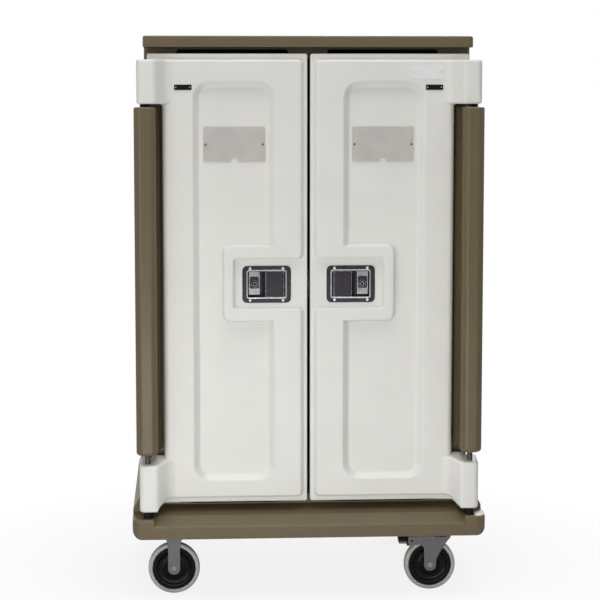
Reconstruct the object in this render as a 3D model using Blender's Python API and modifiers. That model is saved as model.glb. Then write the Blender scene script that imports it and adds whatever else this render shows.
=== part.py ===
"""Insulated two-door meal delivery cart on four casters.

Metres, +Z up, doors towards -Y. The origin is on the floor under the middle of the base.
A distance called "out" is measured sideways from the cart's middle plane, so that one
value serves the left side, at -X, and the right side, at +X.
"""
import math

import bmesh
import bpy
from mathutils import Vector

# Fits between separate pieces.
GAP = 0.0003
OVERRUN = 0.002
MERGE = 0.00001

# Overall sizes.
BASE_WIDTH = 1.038
BASE_DEPTH = 0.840
CASTER_HEIGHT = 0.1845
DECK_HEIGHT = 0.076
CABINET_HEIGHT = 1.350
CABINET_MARGIN = 0.042
CABINET_BACK_SETBACK = 0.050
LID_HEIGHT = 0.0326
LID_SIDE_OVERHANG = 0.0023

# Base deck: a bumper all round, a raised block under each front hinge and a skirt up each side.
BUMPER_REACH = 0.062
BUMPER_FACE = 0.0365
BUMPER_SLOPE_RISE = 0.025
BUMPER_SLOPE_RUN = 0.042
BACK_SLOPE_DROP = 0.022
BACK_SLOPE_GAP = 0.004
CORNER_BLOCK_WIDTH = 0.064
CORNER_BLOCK_DROP = 0.018
RAIL_TOP_DROP = 0.008
SKIRT_HEIGHT = 0.0645
DECK_CORNER_RADIUS = 0.030
DECK_UNDERSIDE_RADIUS = 0.028
DECK_EDGE_RADIUS = 0.004

# Lid: a slab with a shallow tray on top.
LID_FRONT_SETBACK = 0.005
LID_BACK_OVERHANG = 0.004
LID_CORNER_RADIUS = 0.018
LID_EDGE_RADIUS = 0.005
LID_TRAY_BORDER = 0.030
LID_TRAY_DEPTH = 0.004

# Cabinet skin, its two mouths, its vent notches and its stiffening panels.
SHELL_WALL = 0.006
SHELL_CORNER_RADIUS = 0.012
MOUTH_FROM_MIDDLE = 0.017
MOUTH_HINGE_MARGIN = 0.062
MOUTH_SILL = 0.0352
MOUTH_HEAD = 0.0358
UPPER_NOTCH_FROM_MIDDLE = 0.0527
UPPER_NOTCH_HINGE_MARGIN = 0.0863
LOWER_NOTCH_FROM_MIDDLE = 0.0817
LOWER_NOTCH_HINGE_MARGIN = 0.1143
NOTCH_SLANT = 0.009
NOTCH_DEPTH = 0.0045
UPPER_NOTCH_TOP_DROP = 0.008
LOWER_NOTCH_RISE = 0.004
PANEL_INSET = 0.100
SIDE_PANEL_FRONT_INSET = 0.056
SIDE_PANEL_BACK_INSET = 0.060
BACK_PANEL_INSET = 0.070
STIFFENER_DEPTH = 0.003
STIFFENER_RADIUS = 0.040

# Liners, insulation and tray racks.
LINER_LIP = 0.0045
LINER_WALL = 0.003
BACK_FOAM = 0.0764
RACK_SHEET = 0.0025
RACK_BACK_SETBACK = 0.0141
RACK_FRONT_SETBACK = 0.010
LEDGE_COUNT = 10
TOP_TRAY_CLEARANCE = 0.1993
LEDGE_REACH = 0.025
FIRST_LEDGE = 0.060
RACK_END_MARGIN = 0.012

# Hinges: a rod stands in the deck and the handle post, and two ears of each door turn on it.
HINGE_MARGIN = 0.046
HINGE_REACH = 0.028
ROD_RADIUS = 0.008
ROD_SEAT_DEPTH = 0.020
ROD_TOP_SEAT = 0.106
ROD_SEGMENTS = 16
WASHER_RADIUS = 0.0150
WASHER_HEIGHT = 0.0084
LOWER_HINGE_GAP = 0.029

# Handle post: a bar to grip, in front, and a column that carries it on the cabinet.
BAR_HALF_WIDTH = 0.0325
BAR_FRONT = 0.030
BAR_FLAT_HALF = 0.016
BAR_SHOULDER = 0.0135
BAR_BACK = 0.006
COLUMN_START = 0.016
COLUMN_OUTER = 0.009
COLUMN_INNER = 0.0425
POST_RADIUS = 0.003
POST_END_RADIUS = 0.005

# Doors.
DOOR_SPLIT = 0.009
DOOR_SILL_GAP = 0.0175
DOOR_HEAD_GAP = 0.0178
DOOR_RIM_SETBACK = 0.015
DOOR_DEPTH = 0.050
DOOR_SKIN = 0.006
DOOR_HINGE_CLEARANCE = 0.0485
DOOR_RIM_HINGE_OFFSET = 0.006
RIM_CORNER_RADIUS = 0.006
RIM_EDGE_RADIUS = 0.003
PANEL_BOTTOM_MARGIN = 0.015
PANEL_TOP_MARGIN = 0.018
PANEL_FREE_MARGIN = 0.0193
PANEL_CORNER_RADIUS = 0.008
PANEL_EDGE_RADIUS = 0.0035
NOTCH_MARGIN = 0.006
NOTCH_RADIUS = 0.008

# The long recess in a door, the ridge round its latch pad, and the pad.
RECESS_FREE_MARGIN = 0.0729
RECESS_HINGE_MARGIN = 0.0837
RECESS_BOTTOM_MARGIN = 0.048
RECESS_TOP_MARGIN = 0.058
RECESS_SLOPE = 0.0247
RECESS_DEPTH = 0.018
RECESS_RADIUS = 0.052
RIDGE_WIDTH = 0.0392
RIDGE_HEIGHT_MARGIN = 0.0455
RIDGE_SLOPE = 0.012
RIDGE_RADIUS = 0.030
RIDGE_OVERLAP = 0.014
PAD_LATCH_MARGIN = 0.0229
PAD_HEIGHT = 0.144
PAD_CENTRE_RISE = 0.648
SURFACE_STEP = 0.0002

# Hinge ears on a door.
EAR_OUTER = 0.024
EAR_INNER = 0.0275
EAR_FRONT = 0.024
EAR_FRONT_RADIUS = 0.014
EAR_FILLET = 0.022
EAR_BACK = 0.043
EAR_ROOT = 0.066
EAR_ROOT_BACK = 0.060
EAR_HEEL = 0.012
EAR_BACK_RADIUS = 0.010
EAR_END_RADIUS = 0.005
UPPER_EAR_HEIGHT = 0.1266
LOWER_EAR_HEIGHT = 0.138
LOWER_EAR_DROP = 0.0157

# Inner panel and seal of a door.
INNER_SHEET = 0.003
INNER_MARGIN = 0.0015
PLUG_MARGIN = 0.0085
PLUG_DEPTH = 0.0165
SEAL_DEPTH = 0.0084
SEAL_WIDTH = 0.009
SEAL_MOUTH_GAP = 0.0015

# Small things on a door's face.
HOLD_PLATE_WIDTH = 0.0502
HOLD_PLATE_HEIGHT = 0.0152
HOLD_PLATE_THICKNESS = 0.0015
HOLD_PLATE_FROM_HINGE = 0.1088
HOLD_PLATE_DROP = 0.0972
HOLD_OPEN_GAP = 0.0006
CARD_INNER_MARGIN = 0.0045
CARD_OUTER_MARGIN = 0.0089
CARD_HEIGHT = 0.1024
CARD_THICKNESS = 0.003
CARD_WALL = 0.001
CARD_FRAME = 0.003
CARD_DROP = 0.2622
CARD_THUMB_RADIUS = 0.0105

# Paddle latch, lock and strike.
LATCH_WIDTH = 0.1421
LATCH_HEIGHT = 0.1086
LATCH_FROM_MIDDLE = 0.12335
LATCH_DROP = 0.003
LATCH_FLANGE = 0.0019
LATCH_CORNER_RADIUS = 0.014
PAN_BORDER = 0.0125
PAN_DEPTH = 0.022
PAN_WALL = 0.0015
PLATFORM_WIDTH = 0.039
PLATFORM_DEPTH = 0.008
PADDLE_FINGER_GAP = 0.012
PADDLE_THICKNESS = 0.003
PADDLE_SETBACK = 0.0015
PADDLE_END_GAP = 0.002
BARREL_RADIUS = 0.0045
BARREL_GAP = 0.0008
PIN_RADIUS = 0.0025
PIN_SEGMENTS = 12
LOCK_RADIUS = 0.0100
LOCK_PROUD = 0.002
LOCK_LENGTH = 0.028
LOCK_FROM_PAN_EDGE = 0.0245
KEYWAY_WIDTH = 0.0015
KEYWAY_HEIGHT = 0.008
KEYWAY_DEPTH = 0.003
BOLT_HEIGHT = 0.014
BOLT_THICKNESS = 0.008
BOLT_LENGTH = 0.091
BOLT_PROUD = 0.0017
BOLT_NOSE = 0.005
BOLT_TRAVEL = 0.010
BOLT_GUIDE_WALL = 0.0017
BOLT_GUIDE_START = 0.055
BOLT_GUIDE_END_WALL = 0.002
BOLT_GUIDE_END_PLAY = 0.004
STRIKE_FOOT_HALF = 0.0055
STRIKE_FOOT_THICKNESS = 0.0015
STRIKE_FOOT_HEIGHT = 0.070
STRIKE_FIN_HALF = 0.00125
STRIKE_FIN_HEIGHT = 0.040
STRIKE_FIN_REACH = 0.0213

# Casters. The left pair is rigid, the right pair swivels and has brakes.
WHEEL_HEADROOM = 0.0321
WHEEL_WIDTH = 0.032
WHEEL_STEPS = 24
TYRE_DEPTH = 0.0127
TYRE_SHOULDER = 0.006
HUB_WIDTH = 0.029
HUB_WEB_WIDTH = 0.016
HUB_RIM = 0.006
HUB_BOSS_RADIUS = 0.015
HUB_BOSS_WIDTH = 0.032
AXLE_RADIUS = 0.006
AXLE_HEAD_RADIUS = 0.0078
AXLE_HEAD = 0.003
AXLE_SEGMENTS = 16
WHEEL_SETBACK = 0.103
RIGID_MARGIN = 0.1201
SWIVEL_MARGIN = 0.1546
SWIVEL_OFFSET = 0.030
FORK_SIDE_GAP = 0.0035
FORK_SHEET = 0.0035
FORK_LEG_RADIUS = 0.018
RIGID_PLATE_LENGTH = 0.105
RIGID_PLATE_WIDTH = 0.090
RIGID_PLATE_THICKNESS = 0.004
RIGID_CROWN = 0.004
RIGID_CROWN_HALF = 0.030
RIGID_FLARE = 0.024
SWIVEL_PLATE_LENGTH = 0.105
SWIVEL_PLATE_WIDTH = 0.090
SWIVEL_PLATE_THICKNESS = 0.004
RACE_RADIUS = 0.029
RACE_HEIGHT = 0.016
KINGPIN_RADIUS = 0.006
KINGPIN_HEAD_RADIUS = 0.009
KINGPIN_HEAD = 0.0015
CROWN_THICKNESS = 0.004
CROWN_FRONT = 0.061
FORK_THROAT = 0.032
BRAKE_ARM_LENGTH = 0.066
BRAKE_ARM_DEPTH = 0.0217
PEDAL_PIVOT_BACK = 0.055
PEDAL_PIVOT_DROP = 0.0102
PEDAL_PIVOT_RADIUS = 0.003
PEDAL_LENGTH = 0.094
PEDAL_INNER = 0.046
PEDAL_WIDTH = 0.034
PEDAL_THICKNESS = 0.004
SHOE_LENGTH = 0.010
SHOE_DEPTH = 0.0175
SHOE_WIDTH = 0.020

# Arc steps of a quarter turn on mouldings.
CORNER_STEPS = 4
FINE_STEPS = 3

# Levels, floor upwards.
deck_bottom = CASTER_HEIGHT
deck_top = deck_bottom + DECK_HEIGHT
cabinet_bottom = deck_top + GAP
cabinet_top = cabinet_bottom + CABINET_HEIGHT
lid_bottom = cabinet_top + GAP
lid_top = lid_bottom + LID_HEIGHT
wheel_radius = (CASTER_HEIGHT - WHEEL_HEADROOM) / 2
crown_top = deck_bottom - SWIVEL_PLATE_THICKNESS - RACE_HEIGHT - 2 * GAP
crown_low = crown_top - CROWN_THICKNESS
pedal_level = crown_low - PEDAL_PIVOT_DROP
door_bottom = deck_top + DOOR_SILL_GAP
door_top = cabinet_top - DOOR_HEAD_GAP
panel_bottom = door_bottom + PANEL_BOTTOM_MARGIN
panel_top = door_top - PANEL_TOP_MARGIN
upper_ear_top = panel_top - SURFACE_STEP
upper_ear_bottom = upper_ear_top - UPPER_EAR_HEIGHT
lower_ear_bottom = door_bottom - LOWER_EAR_DROP
lower_ear_top = lower_ear_bottom + LOWER_EAR_HEIGHT
post_bottom = lower_ear_top + LOWER_HINGE_GAP
post_top = upper_ear_bottom - WASHER_HEIGHT - 2 * GAP
corner_block_top = deck_top - CORNER_BLOCK_DROP
mouth_bottom = cabinet_bottom + MOUTH_SILL
mouth_top = cabinet_top - MOUTH_HEAD
pad_centre = door_bottom + PAD_CENTRE_RISE
latch_centre = pad_centre - LATCH_DROP

# Planes, front to back.
base_front = -BASE_DEPTH / 2
base_back = BASE_DEPTH / 2
door_face = base_front + BUMPER_REACH
hinge_y = door_face - HINGE_REACH
door_rim = door_face + DOOR_RIM_SETBACK
door_back = door_face + DOOR_DEPTH
inner_front = door_back + GAP
inner_back = inner_front + INNER_SHEET
seal_front = inner_back + GAP
seal_back = seal_front + SEAL_DEPTH
cabinet_front = seal_back + GAP
cabinet_back = base_back - CABINET_BACK_SETBACK
liner_front = cabinet_front + SHELL_WALL + GAP
liner_back = cabinet_back - SHELL_WALL - BACK_FOAM

# Distances out from the middle plane.
base_out = BASE_WIDTH / 2
hinge_out = base_out - HINGE_MARGIN
cabinet_out = base_out - CABINET_MARGIN
rigid_out = base_out - RIGID_MARGIN
swivel_out = base_out - SWIVEL_MARGIN
door_free = DOOR_SPLIT / 2
door_hinge_side = hinge_out - DOOR_HINGE_CLEARANCE
door_rim_out = hinge_out - DOOR_RIM_HINGE_OFFSET
mouth_in = MOUTH_FROM_MIDDLE
mouth_out = hinge_out - MOUTH_HINGE_MARGIN
panel_free = door_free + PANEL_FREE_MARGIN
recess_in = panel_free + RECESS_FREE_MARGIN
recess_out = door_hinge_side - RECESS_HINGE_MARGIN
pad_out = LATCH_FROM_MIDDLE + LATCH_WIDTH / 2 + PAD_LATCH_MARGIN

SIDES = {"left": -1, "right": 1}
ENDS = {"front": -1, "rear": 1}


def start_scene():
    """Empty the scene and make one collection for the cart and one for its cutters."""
    for thing in list(bpy.data.objects):
        bpy.data.objects.remove(thing, do_unlink=True)
    made = []
    for name in ("meal_delivery_cart", "cutters"):
        collection = bpy.data.collections.new(name)
        bpy.context.scene.collection.children.link(collection)
        made.append(collection)
    return made


parts, cutters = start_scene()


def linear(value):
    """One sRGB channel, 0 to 255, as the linear value a shader takes."""
    share = value / 255
    return share / 12.92 if share <= 0.04045 else ((share + 0.055) / 1.055) ** 2.4


def finish(name, colour, roughness, metallic=0.0, alpha=1.0):
    """Principled material in an sRGB colour."""
    made = bpy.data.materials.new(name)
    made.use_nodes = True
    shader = made.node_tree.nodes["Principled BSDF"]
    shader.inputs["Base Color"].default_value = [linear(channel) for channel in colour] + [1.0]
    shader.inputs["Roughness"].default_value = roughness
    shader.inputs["Metallic"].default_value = metallic
    shader.inputs["Alpha"].default_value = alpha
    return made


taupe = finish("taupe_polyethylene", (112, 101, 83), 0.45)
white = finish("white_polyethylene", (222, 221, 215), 0.38)
liner_grey = finish("liner_polyethylene", (190, 186, 176), 0.5)
foam = finish("foam", (214, 190, 130), 0.9)
steel = finish("stainless_steel", (168, 168, 166), 0.3, 1.0)
zinc = finish("zinc_plated_steel", (126, 129, 134), 0.45, 0.8)
black_chrome = finish("black_chrome", (64, 62, 66), 0.2, 1.0)
black_plastic = finish("black_plastic", (30, 30, 32), 0.5)
seal_rubber = finish("seal_rubber", (58, 58, 58), 0.8)
tyre_rubber = finish("tyre_rubber", (176, 175, 170), 0.7)
clear_plastic = finish("clear_plastic", (205, 203, 198), 0.15, 0.0, 0.5)


def add(name, mesh, material):
    """Object for a mesh: a part when it has a material, otherwise a cutter."""
    thing = bpy.data.objects.new(name, mesh)
    if material is None:
        cutters.objects.link(thing)
        thing.hide_render = True
        thing.display_type = "WIRE"
    else:
        parts.objects.link(thing)
        mesh.materials.append(material)
    return thing


def block(name, low, high, material=None):
    """Box between two corners, in any order, with its origin at its middle."""
    mesh = bpy.data.meshes.new(name)
    shape = bmesh.new()
    bmesh.ops.create_cube(shape, size=1.0)
    size = [abs(b - a) for a, b in zip(low, high)]
    bmesh.ops.scale(shape, vec=size, verts=shape.verts)
    shape.to_mesh(mesh)
    shape.free()
    thing = add(name, mesh, material)
    thing.location = [(a + b) / 2 for a, b in zip(low, high)]
    return thing


def cylinder(name, radius, start, end, segments, material=None):
    """Round bar from one point to another."""
    start, end = Vector(start), Vector(end)
    mesh = bpy.data.meshes.new(name)
    shape = bmesh.new()
    bmesh.ops.create_cone(
        shape, cap_ends=True, segments=segments, radius1=radius, radius2=radius,
        depth=(end - start).length,
    )
    shape.to_mesh(mesh)
    shape.free()
    thing = add(name, mesh, material)
    thing.location = (start + end) / 2
    thing.rotation_euler = (end - start).to_track_quat("Z", "Y").to_euler()
    return thing


def bore_radius(shaft, segments):
    """Radius of a faceted bore whose flats clear a round shaft."""
    return (shaft + GAP) / math.cos(math.pi / segments)


def turned(name, profile, steps, centre, material=None):
    """Solid turned about an axis along Y, from (radius, height) points, outer side top down.

    The facets are turned half a step, so that a flat one is lowest.
    """
    mesh = bpy.data.meshes.new(name)
    count = len(profile)
    points = [(radius, 0, height) for radius, height in profile]
    mesh.from_pydata(points, [(i, (i + 1) % count) for i in range(count)], [])
    thing = add(name, mesh, material)
    screw = thing.modifiers.new("turn", "SCREW")
    screw.axis = "Z"
    screw.steps = steps
    screw.render_steps = steps
    screw.use_merge_vertices = True
    screw.merge_threshold = MERGE
    thing.location = centre
    thing.rotation_euler = (math.pi / 2, math.pi / steps, 0)
    return thing


def rounded(corners, steps=CORNER_STEPS):
    """Outline whose corners, each (x, y, radius), become arcs where the radius isn't 0."""
    points = []
    count = len(corners)
    for i, (x, y, radius) in enumerate(corners):
        here = Vector((x, y))
        before = (Vector(corners[i - 1][:2]) - here).normalized()
        after = (Vector(corners[(i + 1) % count][:2]) - here).normalized()
        if radius == 0:
            points.append((x, y))
            continue
        half = before.angle(after) / 2
        centre = here + (before + after).normalized() * (radius / math.sin(half))
        reach = radius / math.tan(half)
        first = here + before * reach - centre
        last = here + after * reach - centre
        turn = first.angle_signed(last)
        for step in range(steps + 1):
            angle = -turn * step / steps
            x_turned = first.x * math.cos(angle) - first.y * math.sin(angle)
            y_turned = first.x * math.sin(angle) + first.y * math.cos(angle)
            points.append((centre.x + x_turned, centre.y + y_turned))
    return points


def rectangle(x_low, x_high, y_low, y_high, radius):
    """Corners of a rectangle, all with one radius."""
    return [
        (x_low, y_low, radius), (x_high, y_low, radius),
        (x_high, y_high, radius), (x_low, y_high, radius),
    ]


def mirrored(outline, side):
    """Outline with its first coordinate taken out to one side of the cart."""
    return [(side * point[0], *point[1:]) for point in outline]


VIEW_TURNS = {
    "plan": (0, 0, 0),
    "front": (math.pi / 2, 0, 0),
    "side": (math.pi / 2, 0, math.pi / 2),
}


def prism(name, outline, view, low, high, material=None):
    """Outline drawn in the plan (x, y), front (x, z) or side (y, z) view, filled and extruded."""
    curve = bpy.data.curves.new(name, "CURVE")
    curve.dimensions = "2D"
    curve.fill_mode = "BOTH"
    curve.extrude = (high - low) / 2
    spline = curve.splines.new("POLY")
    spline.points.add(len(outline) - 1)
    for point, (x, y) in zip(spline.points, outline):
        point.co = (x, y, 0, 1)
    spline.use_cyclic_u = True
    drawing = bpy.data.objects.new(name + "_drawing", curve)
    bpy.context.scene.collection.objects.link(drawing)
    drawing.rotation_euler = VIEW_TURNS[view]
    axis = {"plan": 2, "front": 1, "side": 0}[view]
    drawing.location[axis] = (low + high) / 2
    bpy.context.view_layer.update()
    evaluated = drawing.evaluated_get(bpy.context.evaluated_depsgraph_get())
    mesh = bpy.data.meshes.new_from_object(evaluated)
    mesh.name = name
    shape = bmesh.new()
    shape.from_mesh(mesh)
    bmesh.ops.remove_doubles(shape, verts=shape.verts, dist=MERGE)
    bmesh.ops.dissolve_limit(
        shape, angle_limit=math.radians(0.1), verts=shape.verts, edges=shape.edges,
    )
    bmesh.ops.recalc_face_normals(shape, faces=shape.faces)
    shape.to_mesh(mesh)
    shape.free()
    thing = add(name, mesh, material)
    thing.matrix_world = drawing.matrix_world
    bpy.data.objects.remove(drawing, do_unlink=True)
    return thing


def taper_front(thing, slope, depth):
    """Draw in the far face of a front-view prism: a sloping wall of one width, then a floor."""
    shape = bmesh.new()
    shape.from_mesh(thing.data)
    far = min(shape.faces, key=lambda face: face.calc_center_median().z)
    bmesh.ops.inset_region(
        shape, faces=[far], thickness=slope, depth=depth, use_even_offset=True,
    )
    shape.to_mesh(thing.data)
    shape.free()


def bevel(thing, width, segments=2, angle=50):
    """Round the edges that turn by more than an angle."""
    modifier = thing.modifiers.new("bevel", "BEVEL")
    modifier.width = width
    modifier.segments = segments
    modifier.limit_method = "ANGLE"
    modifier.angle_limit = math.radians(angle)
    return thing


def combine(thing, other, operation):
    modifier = thing.modifiers.new(operation.lower(), "BOOLEAN")
    modifier.operation = operation
    modifier.solver = "EXACT"
    modifier.object = other


def cut(thing, *others):
    for other in others:
        combine(thing, other, "DIFFERENCE")


def join(thing, *others):
    for other in others:
        combine(thing, other, "UNION")


def smooth(thing):
    """Shade a round piece smooth, with its edges kept sharp."""
    thing.data.shade_smooth()
    thing.data.set_sharp_from_angle(angle=math.radians(40))


def pivot(name, place):
    """Empty on a joint's axis."""
    made = bpy.data.objects.new(name, None)
    parts.objects.link(made)
    made.location = place
    made.empty_display_size = ROD_RADIUS
    bpy.context.view_layer.update()
    return made


def carry(parent, *things):
    """Let things move with a parent, from where they stand."""
    bpy.context.view_layer.update()
    for thing in things:
        thing.parent = parent
        thing.matrix_parent_inverse = parent.matrix_world.inverted()


def base_deck():
    """Deck moulding: bumper profile between two side rails, its plan corners rounded."""
    bumper_top = deck_bottom + BUMPER_FACE
    slope_top = bumper_top + BUMPER_SLOPE_RISE
    across = prism("base_deck", rounded([
        (base_front, deck_bottom, DECK_EDGE_RADIUS),
        (base_front, bumper_top, DECK_EDGE_RADIUS),
        (base_front + BUMPER_SLOPE_RUN, slope_top, 0),
        (cabinet_front, deck_top, 0),
        (cabinet_back + BACK_SLOPE_GAP, deck_top, 0),
        (base_back, deck_top - BACK_SLOPE_DROP, DECK_EDGE_RADIUS),
        (base_back, deck_bottom, DECK_EDGE_RADIUS),
    ], FINE_STEPS), "side", CORNER_BLOCK_WIDTH - base_out - OVERRUN,
        base_out - CORNER_BLOCK_WIDTH + OVERRUN, taupe)
    block_in = base_out - CORNER_BLOCK_WIDTH
    rail_top = deck_top - RAIL_TOP_DROP
    skirt_in = cabinet_out + GAP
    for side_name, side in SIDES.items():
        rail = prism("deck_rail_" + side_name, rounded(mirrored([
            (block_in, deck_bottom, 0),
            (base_out, deck_bottom, DECK_UNDERSIDE_RADIUS),
            (base_out, rail_top, DECK_EDGE_RADIUS),
            (skirt_in + DECK_EDGE_RADIUS, deck_top + SKIRT_HEIGHT, 0),
            (skirt_in, deck_top + SKIRT_HEIGHT, 0),
            (skirt_in, deck_top, 0),
            (block_in, deck_top, 0),
        ], side)), "front", base_front, base_back)
        join(across, rail)
        sweep = block(
            "ear_sweep_" + side_name,
            (side * block_in, base_front - OVERRUN, corner_block_top),
            (side * (base_out + OVERRUN), hinge_y + EAR_ROOT + NOTCH_MARGIN,
             deck_top + SKIRT_HEIGHT + OVERRUN),
        )
        seat = cylinder(
            "rod_seat_" + side_name, bore_radius(ROD_RADIUS, ROD_SEGMENTS),
            (side * hinge_out, hinge_y, corner_block_top - ROD_SEAT_DEPTH),
            (side * hinge_out, hinge_y, corner_block_top + OVERRUN), ROD_SEGMENTS,
        )
        cut(across, sweep, seat)
    plan = prism("deck_plan", rounded(rectangle(
        -base_out, base_out, base_front, base_back, DECK_CORNER_RADIUS,
    )), "plan", deck_bottom - OVERRUN, deck_top + SKIRT_HEIGHT + OVERRUN)
    combine(across, plan, "INTERSECT")


def top_panel():
    """Lid slab with a shallow tray in its upper face."""
    half = cabinet_out + LID_SIDE_OVERHANG
    front = door_face + LID_FRONT_SETBACK
    back = cabinet_back + LID_BACK_OVERHANG
    lid = prism("top_panel", rounded(rectangle(-half, half, front, back, LID_CORNER_RADIUS)),
                "plan", lid_bottom, lid_top, taupe)
    bevel(lid, LID_EDGE_RADIUS)
    border = LID_TRAY_BORDER
    tray = prism("lid_tray", rounded(rectangle(
        -half + border, half - border, front + border, back - border, LID_CORNER_RADIUS,
    )), "plan", lid_top - LID_TRAY_DEPTH, lid_top + OVERRUN)
    cut(lid, tray)


def cabinet_shell():
    """Outer skin: a hollow box with two mouths, vent notches and stiffening panels."""
    shell = prism("cabinet_shell", rounded(rectangle(
        -cabinet_out, cabinet_out, cabinet_front, cabinet_back, SHELL_CORNER_RADIUS,
    )), "plan", cabinet_bottom, cabinet_top, taupe)
    wall = SHELL_WALL
    hollow = block(
        "shell_hollow",
        (-cabinet_out + wall, cabinet_front + wall, cabinet_bottom + wall),
        (cabinet_out - wall, cabinet_back - wall, cabinet_top - wall),
    )
    cut(shell, hollow)
    panel_low = cabinet_bottom + PANEL_INSET
    panel_high = cabinet_top - PANEL_INSET
    for side_name, side in SIDES.items():
        mouth = block(
            "mouth_" + side_name,
            (side * mouth_in, cabinet_front - OVERRUN, mouth_bottom),
            (side * mouth_out, cabinet_front + wall + OVERRUN, mouth_top),
        )
        upper_end = hinge_out - UPPER_NOTCH_HINGE_MARGIN
        upper_low = door_top - OVERRUN
        upper_high = cabinet_top - UPPER_NOTCH_TOP_DROP
        upper = prism("upper_notch_" + side_name, mirrored([
            (UPPER_NOTCH_FROM_MIDDLE, upper_low), (upper_end, upper_low),
            (upper_end - NOTCH_SLANT, upper_high),
            (UPPER_NOTCH_FROM_MIDDLE + NOTCH_SLANT, upper_high),
        ], side), "front", cabinet_front - OVERRUN, cabinet_front + NOTCH_DEPTH)
        lower_end = hinge_out - LOWER_NOTCH_HINGE_MARGIN
        lower_low = cabinet_bottom + LOWER_NOTCH_RISE
        lower_high = door_bottom + OVERRUN
        lower = prism("lower_notch_" + side_name, mirrored([
            (LOWER_NOTCH_FROM_MIDDLE + NOTCH_SLANT, lower_low),
            (lower_end - NOTCH_SLANT, lower_low),
            (lower_end, lower_high), (LOWER_NOTCH_FROM_MIDDLE, lower_high),
        ], side), "front", cabinet_front - OVERRUN, cabinet_front + NOTCH_DEPTH)
        side_face = side * cabinet_out
        span = sorted((side_face - side * STIFFENER_DEPTH, side_face + side * OVERRUN))
        stiffener = prism("side_stiffener_" + side_name, rounded(rectangle(
            cabinet_front + SIDE_PANEL_FRONT_INSET, cabinet_back - SIDE_PANEL_BACK_INSET,
            panel_low, panel_high, STIFFENER_RADIUS,
        )), "side", *span)
        cut(shell, mouth, upper, lower, stiffener)
    back_half = cabinet_out - BACK_PANEL_INSET
    back_stiffener = prism("back_stiffener", rounded(rectangle(
        -back_half, back_half, panel_low, panel_high, STIFFENER_RADIUS,
    )), "front", cabinet_back - STIFFENER_DEPTH, cabinet_back + OVERRUN)
    cut(shell, back_stiffener)


def liner_box(grow):
    """Two corners, out and up from the middle plane, of a liner's space grown by a wall."""
    low = (mouth_in - LINER_LIP - grow, liner_front, mouth_bottom - LINER_LIP - grow)
    high = (mouth_out + LINER_LIP + grow, liner_back - LINER_WALL + grow,
            mouth_top + LINER_LIP + grow)
    return low, high


def to_side(point, side):
    return (side * point[0], point[1], point[2])


def insulation_core():
    """Foam that fills the space between the outer skin and the two liners."""
    inset = SHELL_WALL + GAP
    core = block(
        "insulation_core",
        (-cabinet_out + inset, cabinet_front + inset, cabinet_bottom + inset),
        (cabinet_out - inset, cabinet_back - inset, cabinet_top - inset), foam,
    )
    for side_name, side in SIDES.items():
        low, high = liner_box(LINER_WALL + GAP)
        low = (low[0], low[1] - OVERRUN, low[2])
        cut(core, block("liner_pocket_" + side_name, to_side(low, side), to_side(high, side)))


def liner(side_name, side):
    """Inner tub of one compartment, open at the front."""
    low, high = liner_box(LINER_WALL)
    tub = block("liner_" + side_name, to_side(low, side), to_side(high, side), liner_grey)
    low, high = liner_box(0)
    low = (low[0], low[1] - OVERRUN, low[2])
    cut(tub, block("liner_inside_" + side_name, to_side(low, side), to_side(high, side)))


def tray_rack(side_name, side, wall_name):
    """Upright sheet against one wall of a compartment, with a ledge for each tray."""
    low, high = liner_box(0)
    wall_out, inward = {"inner": (low[0], 1), "outer": (high[0], -1)}[wall_name]
    back = wall_out + inward * GAP
    face = back + inward * RACK_SHEET
    tip = face + inward * LEDGE_REACH
    bottom = low[2] + GAP
    pitch = (high[2] - low[2] - FIRST_LEDGE - TOP_TRAY_CLEARANCE) / (LEDGE_COUNT - 1)
    outline = [(back, bottom), (face, bottom)]
    for number in range(LEDGE_COUNT):
        level = low[2] + FIRST_LEDGE + number * pitch
        under = level - RACK_SHEET
        outline += [(face, under), (tip, under), (tip, level), (face, level)]
    top = level + RACK_END_MARGIN
    outline += [(face, top), (back, top)]
    front = liner_front + RACK_FRONT_SETBACK
    prism("tray_rack_%s_%s" % (side_name, wall_name), mirrored(outline, side), "front",
          front, liner_back - LINER_WALL - RACK_BACK_SETBACK, steel)


def handle_post(side_name, side):
    """Grip bar and its column, one moulding, bored for the hinge rod."""
    column_back = cabinet_front - GAP - hinge_y
    corners = [
        (-BAR_HALF_WIDTH, -BAR_SHOULDER, POST_RADIUS), (-BAR_FLAT_HALF, -BAR_FRONT, POST_RADIUS),
        (BAR_FLAT_HALF, -BAR_FRONT, POST_RADIUS), (BAR_HALF_WIDTH, -BAR_SHOULDER, POST_RADIUS),
        (BAR_HALF_WIDTH, BAR_BACK, POST_RADIUS), (COLUMN_INNER, COLUMN_START, POST_RADIUS),
        (COLUMN_INNER, column_back, 0), (-COLUMN_OUTER, column_back, 0),
        (-COLUMN_OUTER, COLUMN_START, POST_RADIUS), (-BAR_HALF_WIDTH, BAR_BACK, POST_RADIUS),
    ]
    outline = [
        (side * (hinge_out - x), hinge_y + y) for x, y in rounded(corners, FINE_STEPS - 1)
    ]
    post = prism("handle_post_" + side_name, outline, "plan", post_bottom, post_top, taupe)
    bevel(post, POST_END_RADIUS, angle=65)
    cut(post, cylinder(
        "post_bore_" + side_name, bore_radius(ROD_RADIUS, ROD_SEGMENTS),
        (side * hinge_out, hinge_y, post_bottom - OVERRUN),
        (side * hinge_out, hinge_y, post_top + OVERRUN), ROD_SEGMENTS,
    ))


def hinge_rod(side_name, side):
    rod = cylinder(
        "hinge_rod_" + side_name, ROD_RADIUS,
        (side * hinge_out, hinge_y, corner_block_top - ROD_SEAT_DEPTH + GAP),
        (side * hinge_out, hinge_y, upper_ear_bottom + ROD_TOP_SEAT), ROD_SEGMENTS, steel,
    )
    smooth(rod)


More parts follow.
